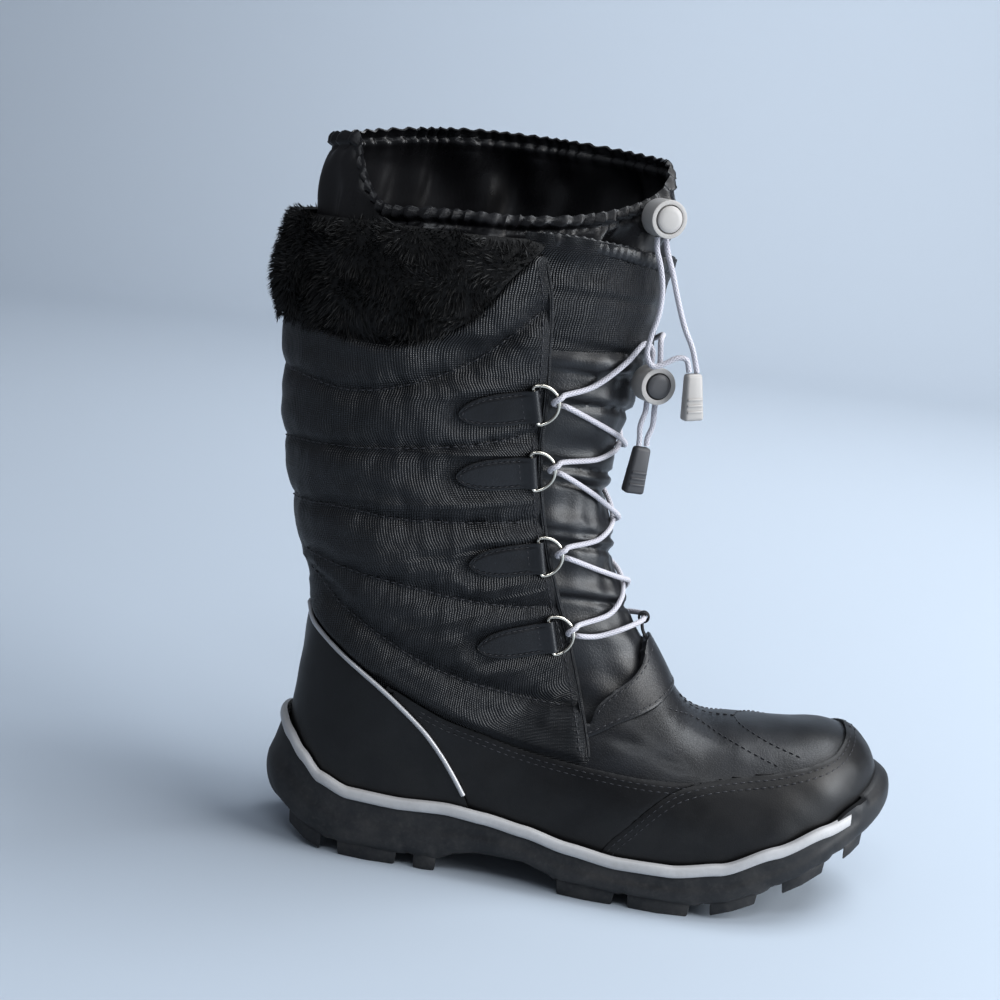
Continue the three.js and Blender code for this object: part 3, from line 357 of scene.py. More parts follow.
def trim(piece, keep):
    """Cuts the piece along the line where keep is zero, and drops the side where it is negative."""
    work = bmesh.new()
    work.from_mesh(piece.data)
    layer = work.verts.layers.float.new("keep")
    work.verts.ensure_lookup_table()
    for vertex, value in zip(work.verts, np.asarray(keep, float).ravel()):
        vertex[layer] = value if abs(value) > 1e-4 else 1e-4
    fresh = []
    for edge in list(work.edges):
        a, b = edge.verts
        if a[layer] * b[layer] < 0:
            share = a[layer] / (a[layer] - b[layer])
            made = bmesh.utils.edge_split(edge, a, share)[1]
            made[layer] = 0.0
            fresh.append(made)
    if fresh:
        bmesh.ops.connect_verts(work, verts=fresh)
    gone = [f for f in work.faces if sum(v[layer] for v in f.verts) < 0]
    bmesh.ops.delete(work, geom=gone, context="FACES")
    work.verts.layers.float.remove(layer)
    work.to_mesh(piece.data)
    work.free()
    piece.data.update()


def face_outwards(piece, outwards):
    """Turns the whole piece over if its faces look against the outward directions at their middles."""
    normals = np.zeros(len(piece.data.polygons) * 3)
    piece.data.polygons.foreach_get("normal", normals)
    centres = np.zeros(len(piece.data.polygons) * 3)
    piece.data.polygons.foreach_get("center", centres)
    if np.sum(normals.reshape(-1, 3) * outwards(centres.reshape(-1, 3) / mm)) < 0:
        piece.data.flip_normals()


def even_stations(start, end, step):
    """Stations whose sections lie about one step apart, measured along the last's side."""
    fine = np.linspace(start, end, 400)
    points = last_point(fine, np.full(400, 1.3))
    run = np.concatenate([[0], np.cumsum(np.linalg.norm(np.diff(points, axis=0), axis=1))])
    return np.interp(np.linspace(0, run[-1], max(int(run[-1] / step), 2) + 1), run, fine)


def even_angles(start, end, step, at):
    fine = np.linspace(start, end, 900)
    points = last_point(np.full(900, float(at)), fine)
    run = np.concatenate([[0], np.cumsum(np.linalg.norm(np.diff(points, axis=0), axis=1))])
    return np.interp(np.linspace(0, run[-1], max(int(run[-1] / step), 2) + 1), run, fine)


def finish_piece(piece, replaces=(), smooth=60):
    only(piece)
    bpy.ops.object.transform_apply(location=True, rotation=True, scale=True)
    bpy.ops.object.shade_smooth_by_angle(angle=math.radians(smooth))
    if replaces:
        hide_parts(*replaces)
    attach(piece, "root")
    return piece


def lay_panel(name, stations, angles, offset, keep, thickness, edge_round=0.0):
    """offset and keep are functions of the panel's places: x, y, z on the last, station and angle."""
    at, angle = np.meshgrid(stations, angles, indexing="ij")
    base = last_point(at, angle)
    x, y, z = base[..., 0], base[..., 1], base[..., 2]
    inside = keep(x, y, z, at, angle)
    lift = offset(x, y, z, at, angle)
    if edge_round:
        near = np.clip(inside / edge_round, 0, 1)
        lift = lift - edge_round * 0.45 * (1 - np.sqrt(1 - (1 - near) ** 2))
    points = base + last_normal(at, angle) * lift[..., None]
    piece = new_grid(name, points)
    trim(piece, inside)
    face_outwards(piece, lambda c: unit((c - spine_of(c)) * np.array([1, 1, 0.15])))
    apply_modifier(piece, "SOLIDIFY", thickness=thickness * mm, offset=-1.0, use_even_offset=False)
    return piece


def spine_of(points):
    """The middle line of the foot and leg nearest to each point, to tell outside from inside."""
    spine = np.array([(225, 3, 45), (150, 0, 42), (90, 0, 50), (55, 0, 85), (45, 0, 130), (40, 0, 300)], float)
    line = np.concatenate([np.linspace(a, b, 30) for a, b in zip(spine[:-1], spine[1:])])
    nearest = np.argmin(((points[:, None] - line[None]) ** 2).sum(-1), axis=1)
    return line[nearest]


def height_on(line, x):
    return np.interp(x, [p[0] for p in line], [p[1] for p in line])


def reach_on(line, z):
    order = sorted(line, key=lambda p: p[1])
    return np.interp(z, [p[1] for p in order], [p[0] for p in order])


def to_line(line, x, z):
    """Distance to a drawn line, and how far along it the nearest point is."""
    line = np.asarray(line, float)
    best, place, run = np.full(x.shape, 1e9), np.zeros(x.shape), 0.0
    for (ax, az), (bx, bz) in zip(line[:-1], line[1:]):
        length = math.hypot(bx - ax, bz - az)
        t = np.clip(((x - ax) * (bx - ax) + (z - az) * (bz - az)) / max(length**2, 1e-9), 0, 1)
        d = np.hypot(x - ax - (bx - ax) * t, z - az - (bz - az) * t)
        place = np.where(d < best, run + t * length, place)
        best = np.minimum(best, d)
        run += length
    return best, place


def soft(x):
    x = np.clip(x, 0, 1)
    return x * x * (3 - 2 * x)


def waves(x, y, size, seed):
    """Even, unrepeating hills and hollows between about -1 and 1."""
    r = np.random.default_rng(seed)
    total = 0
    for _ in range(6):
        turn, phase, scale = r.uniform(0, 2 * math.pi), r.uniform(0, 6.28), r.uniform(0.7, 1.5)
        total = total + np.sin((x * math.cos(turn) + y * math.sin(turn)) * 2 * math.pi / (size * scale) + phase)
    return total / 3.0


def trough(x, z, start, end, depth, width):
    """A given crease in side view: a soft hollow that fades out at both ends."""
    d, run = to_line([start, end], x, z)
    length = math.hypot(end[0] - start[0], end[1] - start[1])
    return -depth * np.exp(-((d / width) ** 2)) * np.sin(np.pi * np.clip(run / length, 0.06, 0.94)) ** 0.7


print("panel helpers ready")

# %% [markdown]
# ## Pattern lines
# These lines are drawn in side view, in millimetres, as a pattern cutter draws them on a taped last.

# %% Lines of the pattern
quarter_front = smooth_line([(69, 300), (69, 286), (74, 265), (75.5, 243), (76.5, 222), (76.5, 200), (79, 178),
                             (85, 152), (91, 134), (97, 117), (103, 99), (108, 83), (112, 70), (116, 50)], 60)
throat_base = smooth_line([(112, 77.5), (114, 85), (121, 92), (128, 97.5), (132, 103.5), (133.5, 110),
                           (134.5, 118), (160, 122)], 40)
counter_edge = smooth_line([(-60, 112), (-27, 110.5), (-15, 103), (0, 93.5), (17, 83), (38, 66), (52, 49),
                            (62, 33), (66, 15)], 60)
cap_edge = smooth_line([(118, 10), (125, 26), (134, 37), (143, 47), (153, 55), (166, 60), (180, 63), (198, 66),
                        (214, 70), (225, 75), (231, 84), (232, 100)], 60)
rand_top = smooth_line([(16, 86), (24, 82.5), (45, 73), (62, 68), (82, 63), (104, 60), (130, 58.5), (148, 58.5),
                        (162, 59.5), (176, 63), (200, 67)], 50)
fur_low = smooth_line([(-80, 243), (-35, 242), (-1, 237), (19, 241), (36, 249), (48, 261), (55, 271), (64, 281),
                       (69.5, 287)], 40)
quilt_seams = [smooth_line(points, 30) for points in (
    [(-48, 220), (-34, 219), (-12, 216), (7, 219), (26, 226), (44, 236), (58, 248), (72, 262)],
    [(-44, 187), (-32, 189), (2, 192), (41, 198), (60, 203), (78, 209)],
    [(-34, 161), (-8, 163), (18, 162), (45, 164), (84, 168)],
    [(-25, 138), (-18, 137), (1, 134), (21, 132), (48, 129), (68, 128), (94, 129)],
    [(-22, 130), (-17, 127), (-7, 118), (10, 109), (31, 99), (52, 92), (73, 88), (93, 85), (108, 84)],
)]
sole_floor = [(-35, 24), (0, 24), (50, 23), (90, 20), (120, 15.5), (160, 14.5), (185, 17), (210, 25),
              (230, 34), (250, 42)]
print("quilt seams:", [round(float(to_line(s, s[-1:, 0], s[-1:, 1])[1][0])) for s in quilt_seams], "mm long")

# %% [markdown]
# ## Finishes
# The boot's blacks differ by their cloth and not by their colour: ribbed satin on the quarters, smooth
# coated leather on the trims, thin nylon on the cuff, pile on the collar, rubber below. Each effect that
# several finishes share is a node group with named sockets, so that one weave or one grain is tuned once.
# The groups put out heights and masks only. The shader itself stays in each material.

# %% Shared effects
def new_group(name, inputs, outputs):
    tree = bpy.data.node_groups.new(name, "ShaderNodeTree")
    for label, kind, value in inputs:
        socket = tree.interface.new_socket(name=label, in_out="INPUT", socket_type=kind)
        if value is not None:
            socket.default_value = value
    for label, kind in outputs:
        tree.interface.new_socket(name=label, in_out="OUTPUT", socket_type=kind)
    return tree, node(tree, "NodeGroupInput"), node(tree, "NodeGroupOutput")


def maths(tree, operation, a, b=None, clamp=False):
    """A Math node; a and b are numbers or (node, output) pairs."""
    made = node(tree, "ShaderNodeMath", operation=operation, use_clamp=clamp)
    for index, value in enumerate([a, b]):
        if value is None:
            continue
        if isinstance(value, tuple):
            wire(tree, value[0], value[1], made, index)
        else:
            made.inputs[index].default_value = value
    return (made, 0)


def ramp(tree, source, low, high, to_low=0.0, to_high=1.0):
    made = node(tree, "ShaderNodeMapRange", clamp=True)
    wire(tree, source[0], source[1], made, "Value")
    for label, value in [("From Min", low), ("From Max", high), ("To Min", to_low), ("To Max", to_high)]:
        made.inputs[label].default_value = value
    return (made, "Result")


def noise(tree, vector, scale, detail=3.0, roughness=0.55):
    made = node(tree, "ShaderNodeTexNoise")
    wire(tree, vector[0], vector[1], made, "Vector")
    made.inputs["Scale"].default_value = scale
    made.inputs["Detail"].default_value = detail
    made.inputs["Roughness"].default_value = roughness
    return (made, "Fac")


# ribbed cloth: fine cords that run up the cloth, crossed by finer threads, with slubs; its second output, a mask of
# the raised ribs and slubs, is a painted sheen wherever a finish lightens its colour with it
weave, entry, result = new_group("ribbed_weave", [("Vector", "NodeSocketVector", None),
                                                  ("Rib Width", "NodeSocketFloat", 0.0009)],
                                 [("Height", "NodeSocketFloat"), ("Rib Sheen", "NodeSocketFloat")])
split = node(weave, "ShaderNodeSeparateXYZ")
wire(weave, entry, "Vector", split, 0)
wobble = maths(weave, "MULTIPLY", noise(weave, (entry, "Vector"), 55.0, 2.0), 0.0011)
across = maths(weave, "ADD", (split, "X"), wobble)
turns = maths(weave, "MULTIPLY", maths(weave, "DIVIDE", across, (entry, "Rib Width")), 2 * math.pi)
rib = maths(weave, "SINE", turns)
climb = maths(weave, "MULTIPLY", maths(weave, "DIVIDE", (split, "Y"), (entry, "Rib Width")), 2 * math.pi * 1.35)
thread = maths(weave, "SINE", climb)
slub = node(weave, "ShaderNodeMapping")
slub.inputs["Scale"].default_value = (900.0, 140.0, 1.0)
wire(weave, entry, "Vector", slub, "Vector")
slubs = noise(weave, (slub, "Vector"), 1.0, 2.0)
height = maths(weave, "ADD", maths(weave, "MULTIPLY", rib, 0.5),
               maths(weave, "ADD", maths(weave, "MULTIPLY", thread, 0.16), maths(weave, "MULTIPLY", slubs, 1.1)))
wire(weave, *height, result, "Height")
# the height as a 0 to 1 mask: painted sheen on the rib tops and slubs
wire(weave, *ramp(weave, height, 0.0, 1.2), result, "Rib Sheen")

# leather grain: small flat cells with hairline valleys, and a slower swell under them
grain, entry, result = new_group("leather_grain", [("Vector", "NodeSocketVector", None),
                                                   ("Cell Scale", "NodeSocketFloat", 900.0)],
                                 [("Height", "NodeSocketFloat"), ("Mottle", "NodeSocketFloat")])
cells = node(grain, "ShaderNodeTexVoronoi", feature="DISTANCE_TO_EDGE")
wire(grain, entry, "Vector", cells, "Vector")
wire(grain, entry, "Cell Scale", cells, "Scale")
valley = ramp(grain, (cells, "Distance"), 0.0, 0.16)
swell = noise(grain, (entry, "Vector"), 160.0, 4.0)
height = maths(grain, "ADD", maths(grain, "MULTIPLY", valley, 0.45), swell)
wire(grain, *height, result, "Height")
wire(grain, *ramp(grain, noise(grain, (entry, "Vector"), 34.0, 5.0, 0.65), 0.35, 0.7), result, "Mottle")

# dust: a pale film that gathers low down, broken up by noise
dust, entry, result = new_group("settled_dust", [("Vector", "NodeSocketVector", None),
                                                 ("Top Height", "NodeSocketFloat", 0.06),
                                                 ("Amount", "NodeSocketFloat", 0.5)],
                                [("Mask", "NodeSocketFloat")])
split = node(dust, "ShaderNodeSeparateXYZ")
wire(dust, entry, "Vector", split, 0)
low = maths(dust, "SUBTRACT", 1.0, maths(dust, "DIVIDE", (split, "Z"), (entry, "Top Height")), clamp=True)
patches = ramp(dust, noise(dust, (entry, "Vector"), 48.0, 6.0, 0.68), 0.42, 0.72)
specks = ramp(dust, noise(dust, (entry, "Vector"), 420.0, 3.0, 0.7), 0.5, 0.78)
film = maths(dust, "ADD", maths(dust, "MULTIPLY", patches, 0.75), maths(dust, "MULTIPLY", specks, 0.4))
wire(dust, *maths(dust, "MULTIPLY", maths(dust, "MULTIPLY", film, low), (entry, "Amount"), clamp=True),
     result, "Mask")

# braid: two sets of strands that cross on a round cord; its second output, a mask of the raised strands, lightens the
# lace's colour: painted light on the strands and painted shade between them
braid, entry, result = new_group("cord_braid", [("Vector", "NodeSocketVector", None)],
                                 [("Height", "NodeSocketFloat"), ("Strand Sheen", "NodeSocketFloat")])
split = node(braid, "ShaderNodeSeparateXYZ")
wire(braid, entry, "Vector", split, 0)
u = maths(braid, "MULTIPLY", (split, "X"), 2 * math.pi / 0.0013)
v = maths(braid, "MULTIPLY", (split, "Y"), 2 * math.pi / 0.0019)
one = maths(braid, "SINE", maths(braid, "ADD", u, v))
other = maths(braid, "SINE", maths(braid, "SUBTRACT", u, v))
height = maths(braid, "MAXIMUM", one, other)
wire(braid, *height, result, "Height")
# the height as a 0 to 1 mask: painted light on the raised strands, painted shade in the hollows between them
wire(braid, *ramp(braid, height, -0.2, 0.8), result, "Strand Sheen")
print("effects:", [g.name for g in bpy.data.node_groups])


# %% Finish builder
def finish(name, dark, light, roughness, effect=None, settings=None, coordinates="UV", mask=None, bump=0.3,
           depth=0.0004, rough_spread=0.12, mottle_scale=26.0, dust_amount=0.0, dust_top=0.06,
           dust_colour=(0.30, 0.29, 0.27), metallic=0.0, **sockets):
    """A Principled material whose colour, roughness and bump come from one shared effect, mottling and dust. The
    effect's mask, where given, lightens the colour too: with the weave and the braid that is a painted sheen on their
    raised ribs and strands, with the grain it is random mottling.
    """
    material = new_material(name, dark, roughness, metallic, **sockets)
    tree = material.node_tree
    shader = tree.nodes["Principled BSDF"]
    place = node(tree, "ShaderNodeTexCoord")
    vector = (place, coordinates)
    body = (place, "Object")
    mottle = noise(tree, body, mottle_scale, 4.0, 0.6)
    colour_mix = node(tree, "ShaderNodeMix", data_type="RGBA", clamp_factor=True)
    colour_mix.inputs[6].default_value = (*dark, 1)
    colour_mix.inputs[7].default_value = (*light, 1)
    mottle_and_sheen = ramp(tree, mottle, 0.3, 0.72, 0.0, 0.6)
    height = None
    if effect:
        used = node(tree, "ShaderNodeGroup", node_tree=effect)
        wire(tree, *vector, used, "Vector")
        for label, value in (settings or {}).items():
            used.inputs[label].default_value = value
        height = (used, "Height")
        # the mask lightens the colour: painted sheen on the raised ribs and strands of the weave and the braid, random
        # mottling with the grain
        if mask:
            mask_sheen_and_mottle = maths(tree, "MULTIPLY", (used, mask), 0.55)
            mottle_and_sheen = maths(tree, "ADD", mask_sheen_and_mottle, maths(tree, "MULTIPLY", mottle_and_sheen, 0.7), clamp=True)
    else:
        height = noise(tree, body, 700.0, 3.0, 0.6)
    wire(tree, *mottle_and_sheen, colour_mix, 0)
    colour = (colour_mix, 2)
    rough = ramp(tree, mottle, 0.3, 0.7, roughness - rough_spread, roughness + rough_spread)
    if dust_amount:
        settled = node(tree, "ShaderNodeGroup", node_tree=dust)
        wire(tree, *body, settled, "Vector")
        settled.inputs["Top Height"].default_value = dust_top
        settled.inputs["Amount"].default_value = dust_amount
        dusty = node(tree, "ShaderNodeMix", data_type="RGBA", clamp_factor=True)
        wire(tree, settled, "Mask", dusty, 0)
        wire(tree, *colour, dusty, 6)
        dusty.inputs[7].default_value = (*dust_colour, 1)
        colour = (dusty, 2)
        rough = maths(tree, "ADD", rough, maths(tree, "MULTIPLY", (settled, "Mask"), 0.4), clamp=True)
    wire(tree, *colour, shader, "Base Color")
    wire(tree, *rough, shader, "Roughness")
    relief = node(tree, "ShaderNodeBump")
    relief.inputs["Strength"].default_value = bump
    relief.inputs["Distance"].default_value = depth
    wire(tree, *height, relief, "Height")
    wire(tree, relief, "Normal", shader, "Normal")
    return material


# %% Finishes of this boot
# the satin, the nylon, the webbing and the lace get a painted sheen on their raised ribs and strands from their masks;
# the leathers and the piping get random mottling from theirs
satin = finish("ribbed_satin", (0.0014, 0.0016, 0.0020), (0.022, 0.024, 0.029), 0.38, weave,
               {"Rib Width": 0.0012}, mask="Rib Sheen", bump=0.8, depth=0.0004, rough_spread=0.08,
               Specular_IOR_Level=0.5)
tongue_leather = finish("soft_coated_leather", (0.0028, 0.003, 0.0038), (0.020, 0.022, 0.027), 0.40, grain,
                        {"Cell Scale": 750.0}, "Object", mask="Mottle", bump=0.30, depth=0.0003,
                        rough_spread=0.07, Coat_Weight=0.15, Coat_Roughness=0.24)
trim_leather = finish("smooth_trim_leather", (0.0020, 0.0020, 0.0025), (0.008, 0.008, 0.0095), 0.43, grain,
                      {"Cell Scale": 950.0}, "Object", mask="Mottle", bump=0.14, depth=0.00025,
                      rough_spread=0.09, dust_amount=0.05, dust_top=0.09, Specular_IOR_Level=0.5)
nylon = finish("cuff_nylon", (0.0035, 0.0035, 0.0042), (0.020, 0.020, 0.023), 0.30, weave,
               {"Rib Width": 0.0006}, mask="Rib Sheen", bump=0.2, depth=0.0001)
pile = finish("collar_pile", (0.0012, 0.0012, 0.0014), (0.006, 0.006, 0.007), 0.7, bump=0.6, depth=0.0008,
              mottle_scale=120.0)
fleece = finish("lining_fleece", (0.003, 0.003, 0.0035), (0.012, 0.012, 0.014), 0.95, bump=1.0, depth=0.001,
                mottle_scale=300.0)
rubber = finish("sole_rubber", (0.011, 0.012, 0.014), (0.026, 0.028, 0.032), 0.50, bump=0.18, depth=0.0003,
                mottle_scale=30.0, dust_amount=0.30, dust_top=0.085, dust_colour=(0.20, 0.185, 0.17))
band_rubber = finish("band_rubber", (0.435, 0.435, 0.442), (0.609, 0.609, 0.609), 0.55, bump=0.3, depth=0.0003,
                     mottle_scale=40.0, dust_amount=0.35, dust_top=0.07, dust_colour=(0.22, 0.20, 0.18))
piping_silver = finish("silver_piping", (0.390, 0.390, 0.403), (0.585, 0.585, 0.598), 0.36, grain,
                       {"Cell Scale": 1400.0}, "Object", mask="Mottle", bump=0.12, depth=0.0002, metallic=0.25)
thread_black = finish("black_thread", (0.022, 0.022, 0.026), (0.08, 0.08, 0.09), 0.42, bump=0.4, depth=0.0002)
ring_metal = finish("ring_metal", (0.60, 0.57, 0.50), (0.78, 0.75, 0.68), 0.20, bump=0.05, depth=0.0001,
                    rough_spread=0.08, metallic=1.0)
lace_cloth = finish("elastic_lace", (0.40, 0.39, 0.43), (0.62, 0.61, 0.65), 0.62, braid, {}, mask="Strand Sheen",
                    bump=0.6, depth=0.00025, Sheen_Weight=0.2, Sheen_Roughness=0.5)
lock_plastic = finish("lock_plastic", (0.38, 0.365, 0.35), (0.46, 0.445, 0.43), 0.42, bump=0.08, depth=0.0002,
                      rough_spread=0.06)
lock_dark = finish("lock_dark_plastic", (0.060, 0.060, 0.064), (0.10, 0.10, 0.105), 0.45, bump=0.1, depth=0.0002)
webbing = finish("keeper_webbing", (0.008, 0.008, 0.009), (0.025, 0.025, 0.028), 0.6, weave,
                 {"Rib Width": 0.0008}, mask="Rib Sheen", bump=0.6, depth=0.0003)
felt = finish("insole_felt", (0.012, 0.012, 0.013), (0.035, 0.035, 0.037), 0.97, bump=1.0, depth=0.0008,
              mottle_scale=200.0)


def wear_finish(piece, material):
    piece.data.materials.clear()
    piece.data.materials.append(material)
    return piece


print("finishes:", len(bpy.data.materials))

# %% [markdown]
# ## Quilted quarters
# The two sides and the back of the boot are one padded satin panel with five sewn seams. Wadding swells
# between the seams, the thread gathers the cloth into small puckers beside them, and the ankle's bend
# throws a few long creases. A cloth simulation could make the swelling too. It was not tried here, because
# it may blur seams that lie so close together. The swelling is worked out from the distance to each seam,
# and the creases are placed one by one.

# %% Quarters
leg_creases = [
    ((-14, 178), (24, 171), 1.2, 4.0), ((10, 181), (58, 187), 1.0, 4.5), ((-22, 150), (6, 149), 1.1, 4.0),
    ((22, 148), (60, 143), 1.3, 4.0), ((48, 154), (78, 150), 1.0, 3.5), ((-16, 118), (-2, 126), 0.9, 3.0),
    ((12, 120), (44, 111), 1.2, 4.0), ((40, 116), (72, 108), 1.0, 3.5), ((66, 116), (88, 98), 1.1, 3.5),
    ((54, 82), (74, 76), 0.8, 3.5), ((80, 78), (100, 70), 0.9, 3.5), ((-30, 205), (0, 201), 0.9, 5.0),
    ((24, 206), (58, 216), 1.0, 5.0), ((-26, 232), (6, 228), 0.9, 4.0), ((48, 226), (68, 238), 0.9, 4.0),
    ((20, 92), (40, 84), 0.8, 3.0),
]


def quilt(x, z, mirrored=0):
    """Height of the padded cloth over the last at x, z in side view."""
    nearest = np.full(x.shape, 1e9)
    place = np.zeros(x.shape)
    for i, seam in enumerate(quilt_seams):
        d, run = to_line(seam, x, z)
        place = np.where(d < nearest, run + 97 * i, place)
        nearest = np.minimum(nearest, d)
    puff = 2.5 * (1 - np.exp(-nearest / 3.6)) + 1.6 * (1 - (1 - np.clip(nearest / 15.5, 0, 1)) ** 2)
    puff = puff * (0.55 + 0.45 * soft((x + 36) / 26))
    pucker_phase = place + 1.2 * waves(place, nearest, 23, 5 + mirrored)
    beside_seam = np.exp(-nearest / 6.0) * (1 - np.exp(-nearest / 1.4))
    pucker = 0.42 * beside_seam * np.sin(2 * math.pi * pucker_phase / 6.4)
    long_pucker = 0.42 * np.exp(-nearest / 11.0) * np.sin(2 * math.pi * pucker_phase / 17.0 + 1.0)
    lie = 0.6 * waves(x, z, 34, 21 + mirrored) + 0.22 * waves(x, z, 15, 22 + mirrored)
    creases = sum(trough(x, z, a, b, depth, width) for a, b, depth, width in leg_creases)
    return puff + pucker + long_pucker + (lie + creases) * np.clip(puff / 2.0, 0, 1)


# where each ring tab is sewn down: the roll that holds the ring, and the tab's rounded tip
eyelets = [(71, 219.5, 39.5, 212), (72.5, 190, 41, 184.5), (80, 151.5, 50.5, 145.5), (89, 115.5, 58, 107.5)]


def pressed(x, z):
    """1 under a ring tab, fading to 0 beside it."""
    near = np.min([to_line([(tx + 4, tz), (rx, rz)], x, z)[0] for rx, rz, tx, tz in eyelets], axis=0)
    return soft((12.0 - near) / 6.0)


def quarter_offset(x, y, z, at, angle):
    high = np.where(y <= 0, quilt(x, z), quilt(x, z, 40)) * (1 - 0.6 * pressed(x, z))
    under_trim = soft((z - height_on(counter_edge, x) + 0.5) / 6) * soft((z - height_on(rand_top, x) + 0.5) / 6)
    under_fur = soft((height_on(fur_low, x) + 4 - z) / 5)
    to_front = soft((reach_on(quarter_front, z) - x) / 5.5)
    back_seam = 1 - 0.85 * np.exp(-((np.abs(np.abs(angle) - math.pi) * 40 / 2.2) ** 2))
    return -0.2 + high * under_trim * under_fur * (0.35 + 0.65 * to_front) * back_seam


def quarter_keep(x, y, z, at, angle):
    return np.minimum(reach_on(quarter_front, z) - x, np.minimum(283 - z, z - 27))


quarter_angles = even_angles(0.5, 2 * math.pi - 0.5, 1.6, 19)
quarters = lay_panel("quilted_quarters", even_stations(6.0, 26.0, 1.5), quarter_angles,
                     quarter_offset, quarter_keep, 2.4, edge_round=2.2)
wear_finish(finish_piece(quarters, ["upper"]), satin)
print("quarters:", len(quarters.data.polygons), "faces")


# %% Cords swept along a path
def sweep(name, path, radius, sides=10, closed=False, flat=1.0, up_hint=None, taper=None):
    """A round or flattened cord along path, with a UV map of the real length round and along it."""
    path = np.asarray(path, float)
    count = len(path)
    ahead = np.roll(path, -1, axis=0) - np.roll(path, 1, axis=0)
    if not closed:
        ahead[0], ahead[-1] = path[1] - path[0], path[-1] - path[-2]
    ahead = unit(ahead)
    if up_hint is None:
        side = unit(np.cross(ahead[0], [0.31, 0.87, 0.39]))
        frames = [side]
        for tangent in ahead[1:]:
            side = side - tangent * np.dot(side, tangent)
            side = side / np.linalg.norm(side)
            frames.append(side)
        across = np.array(frames)
    else:
        across = unit(np.cross(np.asarray(up_hint, float) * np.ones((count, 1)), ahead))
    over = np.cross(ahead, across)
    turn = np.linspace(0, 2 * math.pi, sides, endpoint=False)
    size = radius * (np.ones(count) if taper is None else np.asarray(taper))
    rings = (path[:, None] + across[:, None] * (np.cos(turn)[None, :, None] * size[:, None, None])
             + over[:, None] * (np.sin(turn)[None, :, None] * size[:, None, None] * flat))
    run = np.concatenate([[0], np.cumsum(np.linalg.norm(np.diff(path, axis=0), axis=1))]) * mm
    quads, uvs = [], []
    around = 2 * math.pi * radius * mm
    for i in range(count if closed else count - 1):
        k = (i + 1) % count
        v0, v1 = run[i], run[i + 1] if i + 1 < count else run[i] + 0.001
        for j in range(sides):
            m = (j + 1) % sides
            quads.append((i * sides + j, i * sides + m, k * sides + m, k * sides + j))
            u0, u1 = around * j / sides, around * (j + 1) / sides
            uvs += [(u0, v0), (u1, v0), (u1, v1), (u0, v1)]
    if not closed:
        quads += [tuple(range(sides))[::-1], tuple((count - 1) * sides + j for j in range(sides))]
        uvs += [(0, 0)] * (2 * sides)
    mesh = bpy.data.meshes.new(name)
    mesh.from_pydata([tuple(p * mm) for p in rings.reshape(-1, 3)], [], quads)
    mesh.uv_layers.new(name="UVMap").data.foreach_set("uv", np.array(uvs, float).ravel())
    piece = bpy.data.objects.new(name, mesh)
    bpy.context.scene.collection.objects.link(piece)
    only(piece)
    bpy.ops.object.mode_set(mode="EDIT")
    bpy.ops.mesh.select_all(action="SELECT")
    bpy.ops.mesh.normals_make_consistent(inside=False)
    bpy.ops.object.mode_set(mode="OBJECT")
    return piece


def join_pieces(pieces, name):
    bpy.ops.object.select_all(action="DESELECT")
    for piece in pieces:
        piece.select_set(True)
    bpy.context.view_layer.objects.active = pieces[0]
    bpy.ops.object.join()
    joined = bpy.context.object
    joined.name = joined.data.name = name
    return joined

# %% [markdown]
# ## Sewing
# Most seams show their thread. One stitch is a thin bead with rounded ends, two dozen faces, and it is
# copied along each seam. The copies of one kind of seam are joined, so that the sewing stays a few pieces.

# %% One stitch, copied along a line
bpy.ops.object.select_all(action="DESELECT")
bpy.ops.mesh.primitive_uv_sphere_add(segments=6, ring_count=4, radius=0.5 * mm)
stitch_form = bpy.context.object
stitch_points = vertices_of(stitch_form)
stitch_faces = [tuple(p.vertices) for p in stitch_form.data.polygons]
bpy.data.objects.remove(stitch_form)
print("one stitch:", len(stitch_faces), "faces")


def scatter(name, template, faces, places, axes):
    """Copies of a small form at places; axes holds one 3 by 3 frame for each, already scaled."""
    points = np.einsum("nij,vj->nvi", axes, template) + places[:, None]
    count = len(template)
    all_faces = [tuple(i + k * count for i in f) for k in range(len(places)) for f in faces]
    mesh = bpy.data.meshes.new(name)
    mesh.from_pydata([tuple(p) for p in (points.reshape(-1, 3) * mm)], [], all_faces)
    piece = bpy.data.objects.new(name, mesh)
    bpy.context.scene.collection.objects.link(piece)
    return piece


def stitches_on(path, normals, length=2.5, gap=1.0, wide=0.62, sink=0.1):
    """Places and frames of the stitches along a path of points with their surface normals."""
    run = np.concatenate([[0], np.cumsum(np.linalg.norm(np.diff(path, axis=0), axis=1))])
    middles = np.arange(length / 2 + 0.4, run[-1] - length / 2, length + gap)
    at = np.stack([np.interp(middles, run, path[:, k]) for k in range(3)], -1)
    up = unit(np.stack([np.interp(middles, run, normals[:, k]) for k in range(3)], -1))
    ahead = unit(np.stack([np.interp(middles + 0.5, run, path[:, k]) for k in range(3)], -1)
                 - np.stack([np.interp(middles - 0.5, run, path[:, k]) for k in range(3)], -1))
    side = np.cross(up, ahead)
    frames = np.stack([ahead * length, side * wide, up * wide], -1)
    return at - up * sink, frames


def seam_on_side(line, sign, lift, **settings):
    """Stitches along a line in side view; lift is the height over the last, a number or a function of x, z."""
    line = np.asarray(line, float)
    run = np.concatenate([[0], np.cumsum(np.hypot(*np.diff(line, axis=0).T))])
    steps = np.linspace(0, run[-1], max(int(run[-1] / 1.5), 2))
    x, z = np.interp(steps, run, line[:, 0]), np.interp(steps, run, line[:, 1])
    at, angle = find_on_side(x, z)
    height = lift(x, z) if callable(lift) else lift
    path = on_last(at, sign * angle, height * np.ones_like(x))
    return stitches_on(path, last_normal(at, sign * angle), **settings)


